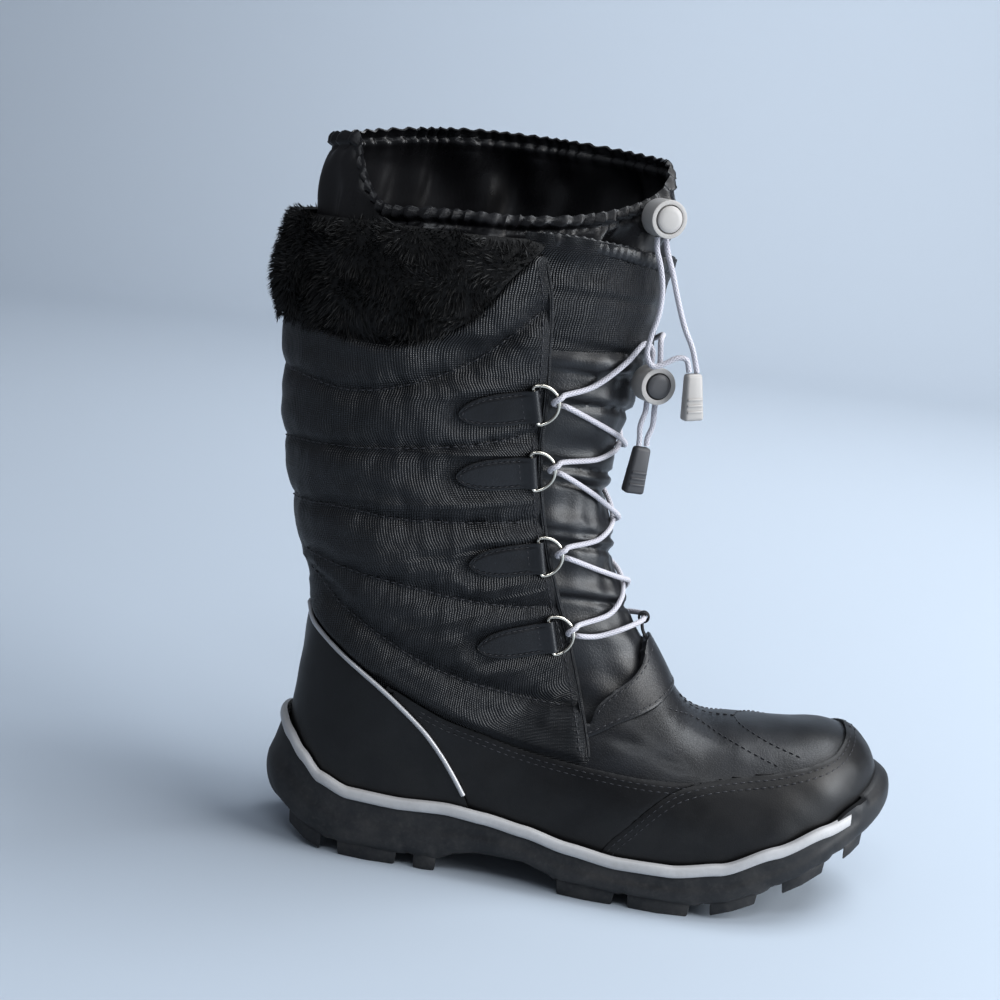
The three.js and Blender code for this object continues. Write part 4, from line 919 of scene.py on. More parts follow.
def shifted(line, d):
    """The line moved sideways by d in side view."""
    line = np.asarray(line, float)
    ahead = unit(np.gradient(line, axis=0))
    return line + np.stack([-ahead[:, 1], ahead[:, 0]], -1) * d


def sew(name, rows, material=None):
    places = np.concatenate([r[0] for r in rows])
    frames = np.concatenate([r[1] for r in rows])
    piece = scatter(name, stitch_points, stitch_faces, places, frames)
    return wear_finish(finish_piece(piece), material or thread_black)


# %% Seams of the quarters
rows = []
for sign in (1, -1):
    for i, seam in enumerate(quilt_seams):
        inside = seam[seam[:, 0] < reach_on(quarter_front, seam[:, 1]) - 4.5]
        inside = inside[inside[:, 0] > -40]
        rows.append(seam_on_side(inside, sign, lambda x, z: 0.95 + quilt(x, z) * 0.2, wide=0.8))
    edge = quarter_front[(quarter_front[:, 1] < 283) & (quarter_front[:, 1] > 62)]
    rows.append(seam_on_side(shifted(edge, -4.3), sign,
                             lambda x, z: quilt(x, z) * (0.35 + 0.65 * soft(np.full(x.shape, 4.3 / 5.5)))))
seams_quarter = sew("quarter_stitches", rows)
print("quarter stitches:", len(seams_quarter.data.polygons), "faces")

# %% Folded front edge
edge_line = quarter_front[(quarter_front[:, 1] < 284) & (quarter_front[:, 1] > 60)]
edge_cords = []
for sign in (1, -1):
    at, angle = find_on_side(edge_line[:, 0] - 0.9, edge_line[:, 1])
    path, _ = round_path(on_last(at, sign * angle, np.full(len(at), 0.35)), 1.5)
    edge_cords.append(sweep("edge", path, 1.35, 8))
edge = wear_finish(finish_piece(join_pieces(edge_cords, "quarter_front_edge")), satin)
print("front edge:", len(edge.data.polygons), "faces")

# %% [markdown]
# ## Tongue, vamp and throat facing
# The tongue is a bellows of soft coated leather, with a satin panel at its top. It lies a few millimetres
# inside the quarters and bulges between the laces. It needs creases that cross it, so they are drawn as
# listed troughs. The vamp covers the instep in the same leather, and a facing laid over it borders
# the throat's lower end.

# %% Tongue
tongue_line = [(x - 9, z) for x, z in quarter_front if z > 92]
tongue_top = [(50, 292), (62, 292.5), (84, 292), (104, 289.5), (126, 284.5), (140, 283)]
tongue_foot = [(60, 84), (100, 84), (112, 76), (128, 86), (139, 96), (146, 104), (160, 112)]
tongue_folds = [
    (214, 0.55, 1.5), (186, -0.5, 1.6), (178, 0.65, 1.3), (151, 0.55, 1.5), (157, -0.55, 1.2), (127, 0.5, 1.3),
    (228, -0.55, 1.2), (238, 0.7, 1.0), (262, 0.5, 0.8),
]


def tongue_offset(x, y, z, at, angle):
    lift = -3.0 + 0.9 * waves(z, angle * 40, 30, 61) + 0.45 * waves(z, angle * 40, 13, 62)
    for height, slant, depth in tongue_folds:
        d = z - (height + 14 * slant * np.abs(np.sin(angle)) * np.sign(slant * angle))
        fold = 0.75 * np.exp(-((d - 4.2) / 4.2) ** 2) - np.exp(-(d / 1.7) ** 2)
        lift = lift + 1.5 * depth * fold * np.cos(angle)
    gathers = 0.5 * np.sin(2 * math.pi * (angle * 42 + waves(z, angle, 8, 3)) / 5.2)
    lift = lift + gathers * np.exp(-((height_on(tongue_top, x) - z) / 6.0))
    lift = lift - 1.1 * np.exp(-((z - 243) / 1.5) ** 2)
    return np.minimum(lift, -1.2)


def tongue_keep(x, y, z, at, angle):
    return np.minimum.reduce([x - reach_on(tongue_line, z), 243 - z, z - height_on(tongue_foot, x)])


def tongue_top_keep(x, y, z, at, angle):
    return np.minimum.reduce([x - reach_on(tongue_line, z), height_on(tongue_top, x) - z, z - 242.6])


tongue = lay_panel("tongue_lower_panel", even_stations(9.0, 26.2, 1.5), even_angles(-1.75, 1.75, 1.3, 20),
                   tongue_offset, tongue_keep, 1.8)
wear_finish(finish_piece(tongue, ["tongue"]), tongue_leather)
tongue_panel = lay_panel("tongue_top_panel", even_stations(20.0, 26.2, 1.5), even_angles(-1.75, 1.75, 1.3, 20),
                         tongue_offset, tongue_top_keep, 1.8)
wear_finish(finish_piece(tongue_panel), satin)

# %% Vamp
vamp_creases = [
    ((118, 74), (140, 70), 0.7, 2.6), ((150, 84), (176, 74), 0.8, 2.4), ((142, 68), (158, 64), 0.6, 2.2),
    ((160, 90), (182, 84), 0.5, 2.0), ((186, 78), (214, 78), 0.35, 3.0), ((128, 82), (146, 92), 0.6, 2.2),
]


def vamp_offset(x, y, z, at, angle):
    lie = 0.16 * waves(x, y, 26, 71) + 0.05 * waves(x, z, 11, 72)
    folds = sum(trough(x, z, a, b, depth, width) for a, b, depth, width in vamp_creases)
    under_trim = soft((z - height_on(rand_top, x) + 1) / 6) * soft((x - 80) / 30)
    low_toe = soft((232 - x) / 10)
    return 0.05 + (lie + folds) * under_trim * low_toe


def vamp_keep(x, y, z, at, angle):
    behind = x - reach_on(quarter_front, z) + 5
    under_facing = np.where(z > 77, height_on(throat_base, x) - 1.0 - z, 10.0)
    in_throat = np.where(x > 112, height_on(throat_base, x) - 1.0 - z, under_facing)
    return np.minimum.reduce([behind, in_throat, z - 8])


vamp = lay_panel("vamp", even_stations(0.02, 15.5, 1.7), even_angles(-2.45, 2.45, 1.7, 7),
                 vamp_offset, vamp_keep, 2.2)
wear_finish(finish_piece(vamp), tongue_leather)

# %% Throat facing
facing_outer = smooth_line([(108, 70), (116, 74), (124, 78.5), (134, 83), (143, 88), (152, 96), (160, 106)], 30)


def facing_offset(x, y, z, at, angle):
    return 1.25 + 0.15 * waves(x, y, 14, 75) + 0 * z


def facing_keep(x, y, z, at, angle):
    return np.minimum.reduce([height_on(throat_base, x) - z, z - height_on(facing_outer, x),
                              x - reach_on(quarter_front, z) + 5])


facing = lay_panel("throat_facing", even_stations(8.5, 15.5, 1.1), even_angles(-1.9, 1.9, 1.1, 11),
                   facing_offset, facing_keep, 1.3, edge_round=1.2)
wear_finish(finish_piece(facing), tongue_leather)
print("front panels:", [len(p.data.polygons) for p in (tongue, vamp, facing)])

# %% [markdown]
# ## Heel counter, rands and toe cap
# Stiff trim leather wraps the foot above the sole. The outer face of the counter and the toe cap lies about
# 1.8 mm proud of the last and that of the rands about 1.4 mm, all with a rounded cut edge. The counter's
# edge carries a silver piping, made as one flattened cord.

# %% Trims
def trim_offset(seed, dents=()):
    def offset(x, y, z, at, angle):
        lift = 1.75 + 0.22 * waves(x, z + y, 40, seed) + 0.1 * waves(x, z + y, 16, seed + 1)
        for dx, dy, dz, depth, width in dents:
            lift = lift - depth * np.exp(-((x - dx) ** 2 + (y - dy) ** 2 + (z - dz) ** 2) / width**2)
        return lift
    return offset


def above_sole(x, z):
    return z - np.interp(x, [p[0] for p in sole_floor], [p[1] for p in sole_floor]) + 2


def counter_keep(x, y, z, at, angle):
    return np.minimum(height_on(counter_edge, x) - z, above_sole(x, z))


def cap_keep(x, y, z, at, angle):
    return np.minimum(height_on(cap_edge, x) - z + np.maximum(x - 231, 0) * 4, above_sole(x, z))


def rand_keep(x, y, z, at, angle):
    below = height_on(rand_top, x) - z
    in_front = (x - reach_on(counter_edge, z)) * 0.7 - 0.2
    behind_cap = np.where(x > 118, z - height_on(cap_edge, x) - 0.2, 10.0)
    return np.minimum.reduce([below, in_front, behind_cap, above_sole(x, z)])


counter = lay_panel("heel_counter_leather", even_stations(7.5, 19.0, 1.5),
                    even_angles(0.75, 2 * math.pi - 0.75, 1.5, 16),
                    trim_offset(81, [(-20, -18, 70, 0.8, 16), (30, -36, 52, 0.5, 14)]), counter_keep, 1.5,
                    edge_round=1.2)
wear_finish(finish_piece(counter, ["heel_counter"]), trim_leather)
toe_cap = lay_panel("toe_cap_leather", even_stations(0.02, 10.5, 1.4), even_angles(-2.6, 2.6, 1.4, 5),
                    trim_offset(83, [(212, -36, 52, 0.9, 12), (236, 2, 62, 0.6, 12), (180, -44, 40, 0.6, 14)]),
                    cap_keep, 1.5, edge_round=1.2)
wear_finish(finish_piece(toe_cap, ["toe_cap"]), trim_leather)
rands = {}
for side, low_angle, high_angle in [("lateral", 0.02, 2.7), ("medial", -2.7, -0.02)]:
    rands[side] = lay_panel(f"rand_{side}_leather", even_stations(3.5, 16.0, 1.5),
                            even_angles(low_angle, high_angle, 1.5, 8),
                            lambda x, y, z, at, angle: trim_offset(85)(x, y, z, at, angle) - 0.35,
                            rand_keep, 1.4, edge_round=1.2)
    wear_finish(finish_piece(rands[side], [f"rand_{side}"]), trim_leather)
print("trims:", [len(p.data.polygons) for p in (counter, toe_cap, *rands.values())])


# %% Counter piping
piping = []
piping_line = [p for p in counter_edge if p[0] > -22 and p[1] > 32]
for sign in (1, -1):
    along = np.array([side_point(x, z, sign, 2.3) for x, z in piping_line])
    piping.append(sweep("piping", round_path(along[::4], 2.0)[0], 1.35, 8, flat=0.8))
piping = wear_finish(finish_piece(join_pieces(piping, "counter_piping")), piping_silver)
print("piping:", len(piping.data.polygons), "faces")

# %% Seams of the trims, vamp and facing
rows = []
cap_side = cap_edge[(cap_edge[:, 1] > 24) & (cap_edge[:, 0] < 231)]
rand_seam = rand_top[(rand_top[:, 0] > 34) & (rand_top[:, 0] < 166)]
for sign in (1, -1):
    for d in (-2.0, -4.6):
        rows.append(seam_on_side(shifted(cap_side, d), sign, 1.85, wide=0.6))
    rows.append(seam_on_side(shifted(rand_seam, -2.2), sign, 1.5, wide=0.6))
    rows.append(seam_on_side(shifted(rand_seam, -4.4), sign, 1.5, wide=0.6))
    rows.append(seam_on_side(shifted(facing_outer[2:], 1.7), sign, 1.45, wide=0.6))
    rows.append(seam_on_side(shifted(throat_base[3:30], -1.8), sign, 1.45, wide=0.6))
seams_trim = sew("trim_stitches", rows)


def vamp_height(x, z, sign):
    """Height of the vamp over the last at x, z in side view."""
    at, angle = find_on_side(x, z)
    return vamp_offset(x, on_last(at, sign * angle, 0 * x)[:, 1], z, at, sign * angle)


# two pairs of seams run down the vamp from the facing to the toe cap, one pair each side of the middle
rows = []
for start, end, turn in [((146, 85.5), (200, 68), 1), ((151, 88), (209, 72), 1)]:
    line = smooth_line([start, ((start[0] + end[0]) / 2, (start[1] + end[1]) / 2 - 0.8), end], 20)
    for sign in (1, -1):
        rows.append(seam_on_side(line, sign, lambda x, z: vamp_height(x, z, sign) + 0.3, wide=0.6, length=2.3))
seams_vamp = sew("vamp_stitches", rows)
print("trim and vamp stitches:", len(seams_trim.data.polygons) + len(seams_vamp.data.polygons), "faces")

# %% [markdown]
# ## Fur collar
# The collar is a roll of short dense pile. Particle hair would render well, but the boot has to export as
# meshes, so the pile is made of small curved tufts with three sides. One tuft is copied about ten thousand
# times over a padded roll, and each copy leans, turns and curls a little differently.

# %% The padded roll
fur_top = [(-80, 287), (-30, 288), (0, 289), (40, 288.5), (60, 289), (69.5, 287)]


def fur_offset(x, y, z, at, angle):
    middle, half = 264.0, 25.0
    u = np.clip(np.abs(z - middle) / half, 0, 1)
    fade = np.clip((74 - x) / 22, 0, 1)
    return 0.6 + 5.6 * np.sqrt(1 - u * u) * np.sqrt(fade) + 0.5 * waves(angle * 42, z, 24, 91)


def fur_keep(x, y, z, at, angle):
    return np.minimum.reduce([z - height_on(fur_low, x) - 1.0, height_on(fur_top, x) + 0.5 - z, 69.5 - x])


collar = lay_panel("collar_roll", even_stations(22.6, 26.6, 2.2),
                   even_angles(0.55, 2 * math.pi - 0.55, 2.2, 24),
                   fur_offset, fur_keep, 1.6)
wear_finish(finish_piece(collar, ["fur_collar"]), pile)

# %% One tuft, copied over the roll
tuft_points, tuft_faces = [], []
for k, (height, wide) in enumerate([(0.0, 1.0), (0.38, 0.8), (0.74, 0.46)]):
    for j in range(3):
        a = 2 * math.pi * j / 3
        tuft_points.append((wide * math.cos(a), wide * math.sin(a), height))
    if k:
        for j in range(3):
            m = (j + 1) % 3
            tuft_faces.append((3 * k - 3 + j, 3 * k - 3 + m, 3 * k + m, 3 * k + j))
tuft_points.append((0.0, 0.0, 1.0))
tuft_faces += [(6 + j, 6 + (j + 1) % 3, 9) for j in range(3)] + [(2, 1, 0)]
tuft_points = np.array(tuft_points)
tuft_count = 9600
at = random.uniform(22.7, 26.5, 40000)
angle = random.uniform(0.6, 2 * math.pi - 0.6, 40000)
base = last_point(at, angle)
inside = fur_keep(base[:, 0], base[:, 1], base[:, 2], at, angle) > 0.2
at, angle, base = at[inside][:tuft_count], angle[inside][:tuft_count], base[inside][:tuft_count]
normal = last_normal(at, angle)
lift = fur_offset(base[:, 0], base[:, 1], base[:, 2], at, angle)
root = base + normal * (lift - 0.8)[:, None]
u = np.clip((base[:, 2] - 264) / 25, -1, 1)
edge_fade = np.sqrt(np.clip((76 - base[:, 0]) / 22, 0.45, 1))
drift = np.stack([waves(angle * 42, base[:, 2], 17, 93), waves(angle * 42, base[:, 2], 19, 94),
                  waves(angle * 42, base[:, 2], 15, 95)], -1)
aim = unit(normal * (1 - 0.45 * u**2)[:, None] + np.array([0, 0, 1.0]) * (0.75 * u - 0.28)[:, None] + 0.42 * drift
           + random.normal(0, 0.16, root.shape))
length = random.uniform(3.6, 5.4, len(root)) * edge_fade
side = unit(np.cross(aim, random.normal(0, 1, aim.shape)))
other = np.cross(aim, side)
width = random.uniform(0.24, 0.42, len(root))
frames = np.stack([side * width[:, None], other * width[:, None], aim * length[:, None]], -1)
tufts = scatter("collar_pile", tuft_points, tuft_faces, root, frames)
co = vertices_of(tufts).reshape(len(root), -1, 3)
bend = (tuft_points[:, 2] ** 2)[None, :, None] * (np.array([0, 0, -1.0]) * 1.5 + drift * 1.1)[:, None, :]
place_vertices(tufts, co + bend * edge_fade[:, None, None])
tip = np.tile(tuft_points[:, 2], len(root)).astype(np.float32)
shade = np.repeat(random.uniform(0, 1, len(root)), len(tuft_points)).astype(np.float32)
tufts.data.attributes.new("tip", "FLOAT", "POINT").data.foreach_set("value", tip)
tufts.data.attributes.new("shade", "FLOAT", "POINT").data.foreach_set("value", shade)
pile_tips = new_material("collar_pile_tips", (0.01, 0.01, 0.01), 0.6)
tree = pile_tips.node_tree
# the tufts get lighter from root to tip: painted shade deep in the pile; the shade attribute is a random tone for each
# tuft
tip_value = node(tree, "ShaderNodeAttribute", attribute_name="tip")
shade_value = node(tree, "ShaderNodeAttribute", attribute_name="shade")
light = maths(tree, "MULTIPLY", ramp(tree, (tip_value, "Fac"), 0.35, 1.0),
              ramp(tree, (shade_value, "Fac"), 0.0, 1.0, 0.25, 1.0))
mix = node(tree, "ShaderNodeMix", data_type="RGBA")
wire(tree, *light, mix, 0)
mix.inputs[6].default_value = (0.0012, 0.0012, 0.0014, 1)
mix.inputs[7].default_value = (0.008, 0.0085, 0.010, 1)
wire(tree, mix, 2, tree.nodes["Principled BSDF"], "Base Color")
wire(tree, *ramp(tree, (shade_value, "Fac"), 0, 1, 0.45, 0.7), tree.nodes["Principled BSDF"], "Roughness")
wear_finish(finish_piece(tufts), pile_tips)
print("collar:", len(root), "tufts,", sum(len(f) - 2 for f in tuft_faces) * len(root), "triangles")

# %% [markdown]
# ## Snow cuff
# The cuff is a sleeve of thin nylon sewn inside the collar. Its top hem is a tunnel of elastic, so the
# cloth above and below it is gathered into small even pleats that die out downwards into loose folds. The
# sleeve is one closed sheet that swells out at the hem, and the folds are drawn round its girth.

# %% Cuff sleeve
cuff_levels = np.array([(262, -38, 116.5, -39, 39), (276, -38, 118.6, -39.2, 39.2), (290, -37.6, 119.6, -38.6, 38.6),
                        (300, -37, 123.6, -37, 39), (312, -35.5, 123, -33, 38), (322, -32.5, 118, -29, 34),
                        (331, -28, 112, -25, 29)], float)


def cuff_rim(angle):
    side, front = np.sin(angle), np.cos(angle)
    side = np.clip(side, 0, 1)
    sag = np.where(front < 0, soft((side - 0.55) / 0.33), side**1.2)
    return 331 - (33 * sag + 8 * np.clip(-front, 0, 1) ** 2 + 4 * np.clip(front, 0, 1) ** 2)


def cuff_girth(z, angle, inset=0.0):
    s = spline(cuff_levels[:, 1:], np.interp(z, cuff_levels[:, 0], np.arange(len(cuff_levels))))
    half_x, half_y = (s[..., 1] - s[..., 0]) / 2 - inset, (s[..., 3] - s[..., 2]) / 2 - inset
    c, d = np.cos(angle), np.sin(angle)
    return np.stack([(s[..., 0] + s[..., 1]) / 2 + half_x * np.sign(c) * np.abs(c) ** 0.93,
                     (s[..., 2] + s[..., 3]) / 2 - half_y * np.sign(d) * np.abs(d) ** 0.93, z], -1)


cuff_angles = np.linspace(0, 2 * math.pi, 321)
cuff_steps = np.concatenate([np.linspace(0, 0.72, 20), np.linspace(0.75, 0.9, 7), np.linspace(0.915, 1.0, 9)])
part, angle = np.meshgrid(cuff_steps, cuff_angles, indexing="ij")
rim = cuff_rim(angle)
z = 262 + (rim - 262) * part
below = rim - z
rim_steps = np.linalg.norm(np.diff(cuff_girth(rim[0], cuff_angles), axis=0), axis=1)
girth = np.concatenate([[0], np.cumsum(rim_steps)])
along = np.broadcast_to(girth, angle.shape)
turns = along / girth[-1] * 2 * math.pi
pleat_count = 66
pleats = np.sin(turns * pleat_count + 1.6 * np.sin(turns * 7 + 1) + 1.1 * np.sin(turns * 13))
hem = 0.95 * pleats * np.exp(-((below - 2.8) / 3.6) ** 2)
puff = 1.9 * np.sqrt(np.clip(1 - ((below - 2.6) / 3.0) ** 2, 0, 1))
waist = -1.0 * np.exp(-((below - 6.6) / 1.3) ** 2)
gather = 0.62 * pleats * np.exp(-np.clip(below - 5, 0, 60) / 5.0) * (below > 4)
folds = (1.3 * np.sin(turns * 9 + 1.5 * np.sin(turns * 2 + z / 30)) + 0.9 * np.sin(turns * 15 + z / 14)
         + 0.6 * np.sin(turns * 23 - z / 17)) * np.exp(-((below - 22) / 24) ** 2) * np.clip(below / 12, 0, 1)
points = cuff_girth(z, angle)
outward = unit(points - np.stack([np.full_like(z, 42), np.zeros_like(z), z], -1))
rim_wave = 0.5 * pleats * (part > 0.95)
points = points + outward * (hem + puff + waist + gather + folds * 1.7 - 0.8)[..., None]
points[..., 2] += rim_wave
points[:, -1] = points[:, 0]
cuff = new_grid("snow_cuff_sleeve", points, wrap=True)
face_outwards(cuff, lambda c: unit((c - spine_of(c)) * np.array([1, 1, 0.05])))
apply_modifier(cuff, "SOLIDIFY", thickness=0.9 * mm, offset=-1.0)
wear_finish(finish_piece(cuff, ["snow_cuff"], 70), nylon)
print("cuff:", len(cuff.data.polygons), "faces, hem", round(girth[-1]), "mm round")

# %% [markdown]
# ## Ring tabs and D-rings
# Four rings a side carry the lace. Each hangs in a leather tab that is sewn to the quarter with a
# rounded tip and is folded round the ring's straight bar. The tab is one grid: it lies on the quarter up
# to the fold, then turns round the bar.

# %% Tabs
tab_gap, roll_radius, tab_half = 0.3, 2.4, 7.1


def eyelet_frame(eyelet, sign):
    """Origin at the middle of the fold, with forward, up and outward directions."""
    roll_x, roll_z, tip_x, tip_z = eyelet
    at, angle = find_on_side(roll_x, roll_z)
    out = last_normal(at, sign * angle)
    forward = side_point(roll_x, roll_z, sign) - side_point(tip_x, tip_z, sign)
    forward = unit(forward - out * np.dot(forward, out))
    rise = np.cross(out, forward)
    rise = rise if rise[2] > 0 else -rise
    return on_last(at, sign * angle, tab_gap + roll_radius), forward, rise, out


def in_frame(frame_of, forward, rise, out=0.0):
    origin, f, u, o = frame_of
    return origin + f * forward + u * rise + o * out


def tab_place(eyelet, sign, part, w, lift):
    """A place on the tab: part runs from the tip, 0, to the fold, 1, and w across it in mm."""
    roll_x, roll_z, tip_x, tip_z = eyelet
    dx, dz = roll_x - tip_x, roll_z - tip_z
    length = math.hypot(dx, dz)
    x, z = tip_x + dx * part - dz / length * w, tip_z + dz * part + dx / length * w
    at, angle = find_on_side(x, z)
    base = last_point(at, sign * angle)
    cloth = quarter_offset(base[..., 0], base[..., 1], base[..., 2], at, sign * angle)
    smooth_cloth = 0.35 * cloth + 0.65 * np.mean(cloth)
    near_fold = soft((part - 0.80) / 0.2) * 1.2
    return on_last(at, sign * angle, smooth_cloth + lift + near_fold), last_normal(at, sign * angle)


def tab_width(part):
    return tab_half * np.sqrt(np.clip(1 - (1 - np.clip(part / 0.62, 0, 1)) ** 2.1, 0, 1))


tab_rows = []
for side, sign in (("lateral", 1), ("medial", -1)):
    for number, eyelet in enumerate(eyelets, 1):
        spot = eyelet_frame(eyelet, sign)
        part, share = np.meshgrid(np.concatenate([[0.004, 0.02, 0.05, 0.09], np.linspace(0.14, 0.9, 15)]),
                                  np.linspace(-1, 1, 29), indexing="ij")
        edge = 0.5 * np.clip((np.abs(share) - 0.8) / 0.2, 0, 1) ** 2 + 0.5 * np.clip((0.06 - part) / 0.06, 0, 1)
        inwards = (1 - np.abs(share)) * tab_width(part)
        furrow = 0.45 * np.exp(-(((inwards - 1.5) / 0.5) ** 2))
        flat, _ = tab_place(eyelet, sign, part, share * tab_width(part), 1.65 - edge - furrow)
        turns = np.radians(np.linspace(118, -95, 14))
        fold = np.array([[in_frame(spot, roll_radius * math.cos(t), w * tab_half, roll_radius * math.sin(t))
                          for w in np.linspace(-1, 1, 29)] for t in turns])
        tab = new_grid(f"ring_tab_{side}_{number}_leather", np.concatenate([flat, fold]))
        face_outwards(tab, lambda c: np.broadcast_to(spot[3], c.shape))
        apply_modifier(tab, "SOLIDIFY", thickness=1.35 * mm, offset=-1.0)
        wear_finish(finish_piece(tab, [f"ring_tab_{side}_{number}"], 50), tongue_leather)
        path = [(p, -(tab_width(p) - 1.5)) for p in np.linspace(0.84, 0.13, 16)] + [(0.085, -2.0), (0.055, 0.0)]
        path += [(p, -w) for p, w in path[-2::-1]]
        path = path + [path[0]]
        parts, widths = np.array(path).T
        on_tab, normals = tab_place(eyelet, sign, parts, widths, 1.6)
        tab_rows.append(stitches_on(on_tab, normals, length=1.9, gap=0.8, wide=0.5, sink=0.05))
tab_seams = sew("tab_stitches", tab_rows)
print("tab stitches:", len(tab_seams.data.polygons), "faces")

# %% D-rings
ring_half, ring_depth, wire_radius = 8.7, 10.5, 0.8
for side, sign in (("lateral", 1), ("medial", -1)):
    for number, eyelet in enumerate(eyelets, 1):
        spot = eyelet_frame(eyelet, sign)
        bow = [(1.4 + (ring_depth - 1.4) * math.sin(a), ring_half * math.cos(a))
               for a in np.linspace(0, math.pi, 30)]
        bar = [(0.0, u) for u in np.linspace(-ring_half + 1.0, ring_half - 1.0, 12)]
        shape = bar + [(0.35, ring_half - 0.3)] + bow + [(0.35, -ring_half + 0.3)]
        path = np.array([in_frame(spot, f, u) for f, u in shape])
        ring = sweep(f"d_ring_{side}_{number}_wire", path, wire_radius, 10, closed=True,
                     up_hint=np.broadcast_to(spot[3], path.shape))
        wear_finish(finish_piece(ring, [f"d_ring_{side}_{number}"]), ring_metal)
print("rings:", 2 * len(eyelets))

# %% [markdown]
# ## Elastic lace
# One round elastic runs from ring to ring. It goes over a ring's wire, through the ring and back under it,
# crosses the tongue to the other side, and passes a webbing keeper at the bottom. Its two ends climb to a
# cord lock, go down through it, and meet in a moulded end. The path is set point by point, so that it
# really passes through each ring, and a tube is swept along it with a UV map for the braid.

# %% Path of the lace
lace_radius = 1.25
lace_start = ring_depth + wire_radius + lace_radius + 0.3
strand_shift = 2.4
crest_heights = [200, 166, 137]
keeper_middle = np.array([130.6, 0.0, 121.0])


def ring_pass(number, sign, downwards):
    """Points of the lace through one ring; downwards says which way the lace runs."""
    spot = eyelet_frame(eyelets[number], sign)
    points = [in_frame(spot, f, u, o) for f, u, o in [
        (lace_start, 2.4, -0.4), (11.5, 2.1, 1.95), (9.0, 1.3, 1.9), (7.9, 0.0, 0.1), (8.9, -1.3, -1.75),
        (11.4, -2.1, -1.9), (lace_start, -2.4, -0.4)]]
    return points if downwards else points[::-1]


def lace_span(number, from_sign, crest, upwards):
    """Points between the ring numbered number + 1 on one side and the ring numbered number on the other."""
    low, high = eyelets[number + 1], eyelets[number]
    ride, over = -1.0, 2.7 if from_sign < 0 else 0.0
    low_angle = find_on_side(low[0] + lace_start + 2, low[1])[1]
    high_angle = find_on_side(high[0] + lace_start + 2, high[1])[1]
    points = []
    for part in (0.62, 0.3, 0.08):
        z = crest + (low[1] + strand_shift - crest) * part
        height = ride + part + over * math.exp(-((part / 0.25) ** 2))
        points.append(shaft_point(z, from_sign * low_angle * part, height))
    points.append(shaft_point(crest, 0.0, ride + over))
    for part in (0.08, 0.3, 0.62):
        z = crest + (high[1] - strand_shift - crest) * part
        height = ride + part + over * math.exp(-((part / 0.25) ** 2))
        points.append(shaft_point(z, -from_sign * high_angle * part, height))
    return points if upwards else points[::-1]


def bar_half(sign):
    return [side_point(110, 115.5, sign, 0.6), side_point(120, 118, sign, 1.2),
            np.array([keeper_middle[0] - 0.6, -sign * 6, keeper_middle[2]])]


lace_points = ring_pass(0, 1, True)
sign = 1
for number in (0, 1, 2):
    lace_points += lace_span(number, -sign, crest_heights[number], False)
    sign = -sign
    lace_points += ring_pass(number + 1, sign, True)
lace_points += bar_half(sign) + [keeper_middle] + bar_half(-sign)[::-1]
sign = -sign
lace_points += ring_pass(3, sign, False)
for number in (2, 1, 0):
    lace_points += lace_span(number, sign, crest_heights[number], True)
    sign = -sign
    lace_points += ring_pass(number, sign, False)
lace_path, lace_length = round_path(lace_points, 1.3)
lace = sweep("elastic_lace_through_rings", lace_path, lace_radius, 10)
crossings = ["lace_cross_1", "lace_cross_2", "lace_cross_3", "lace_bar"]
wear_finish(finish_piece(lace, crossings), lace_cloth)
print("lace through the rings:", round(lace_length), "mm")

# %% Keeper
turn = np.linspace(0, 2 * math.pi, 25)[:-1]
radial = np.stack([np.cos(turn), 0 * turn, np.sin(turn)], -1)
loop = sweep("lace_keeper_loop", keeper_middle + radial * 2.25, 2.5, 12, closed=True, flat=0.22, up_hint=radial)
leg = np.array([keeper_middle + [-0.6, 0, -2.4], keeper_middle + [0.2, 0, -6], keeper_middle + [2.6, 0, -10.5]])
leg_path = round_path(leg, 1.0)[0]
leg_faces = np.broadcast_to(np.array([0.95, 0, 0.3]), leg_path.shape)
legs = sweep("keeper_leg", leg_path, 2.5, 12, flat=0.3, up_hint=leg_faces)
keeper = join_pieces([loop, legs], "lace_keeper_loop")
wear_finish(finish_piece(keeper, ["lace_keeper"], 50), webbing)

# %% [markdown]
# ## Cord locks and cord ends
# A cord lock is a short barrel with a spring button in its face. The barrel is a cylinder with rounded
# edges; the button's well is inset and pushed in, and the button is extruded out of it again. A cord end
# is a small moulded block with grip ridges.

# %% Locks
lock_axis = unit(np.array([0.42, -0.91, 0.0]))
lock_across = unit(np.array([0.91, 0.42, 0.0]))
lock_turn = Vector((0, 0, 1)).rotation_difference(Vector(lock_axis))
lace_lock_middle = np.array([121.0, -18.5, 231.0])
cuff_lock_middle = np.array([116.5, -27.5, 303.5])
lock_radius, lock_thick = 8.2, 11.0


def select_faces(piece, test):
    """Leaves edit mode's selection on the faces that pass, by centre and normal."""
    bpy.ops.object.mode_set(mode="EDIT")
    bpy.ops.mesh.select_mode(type="FACE")
    bpy.ops.mesh.select_all(action="DESELECT")
    bpy.ops.object.mode_set(mode="OBJECT")
    for face in piece.data.polygons:
        face.select = bool(test(np.array(face.center), np.array(face.normal)))
    bpy.ops.object.mode_set(mode="EDIT")


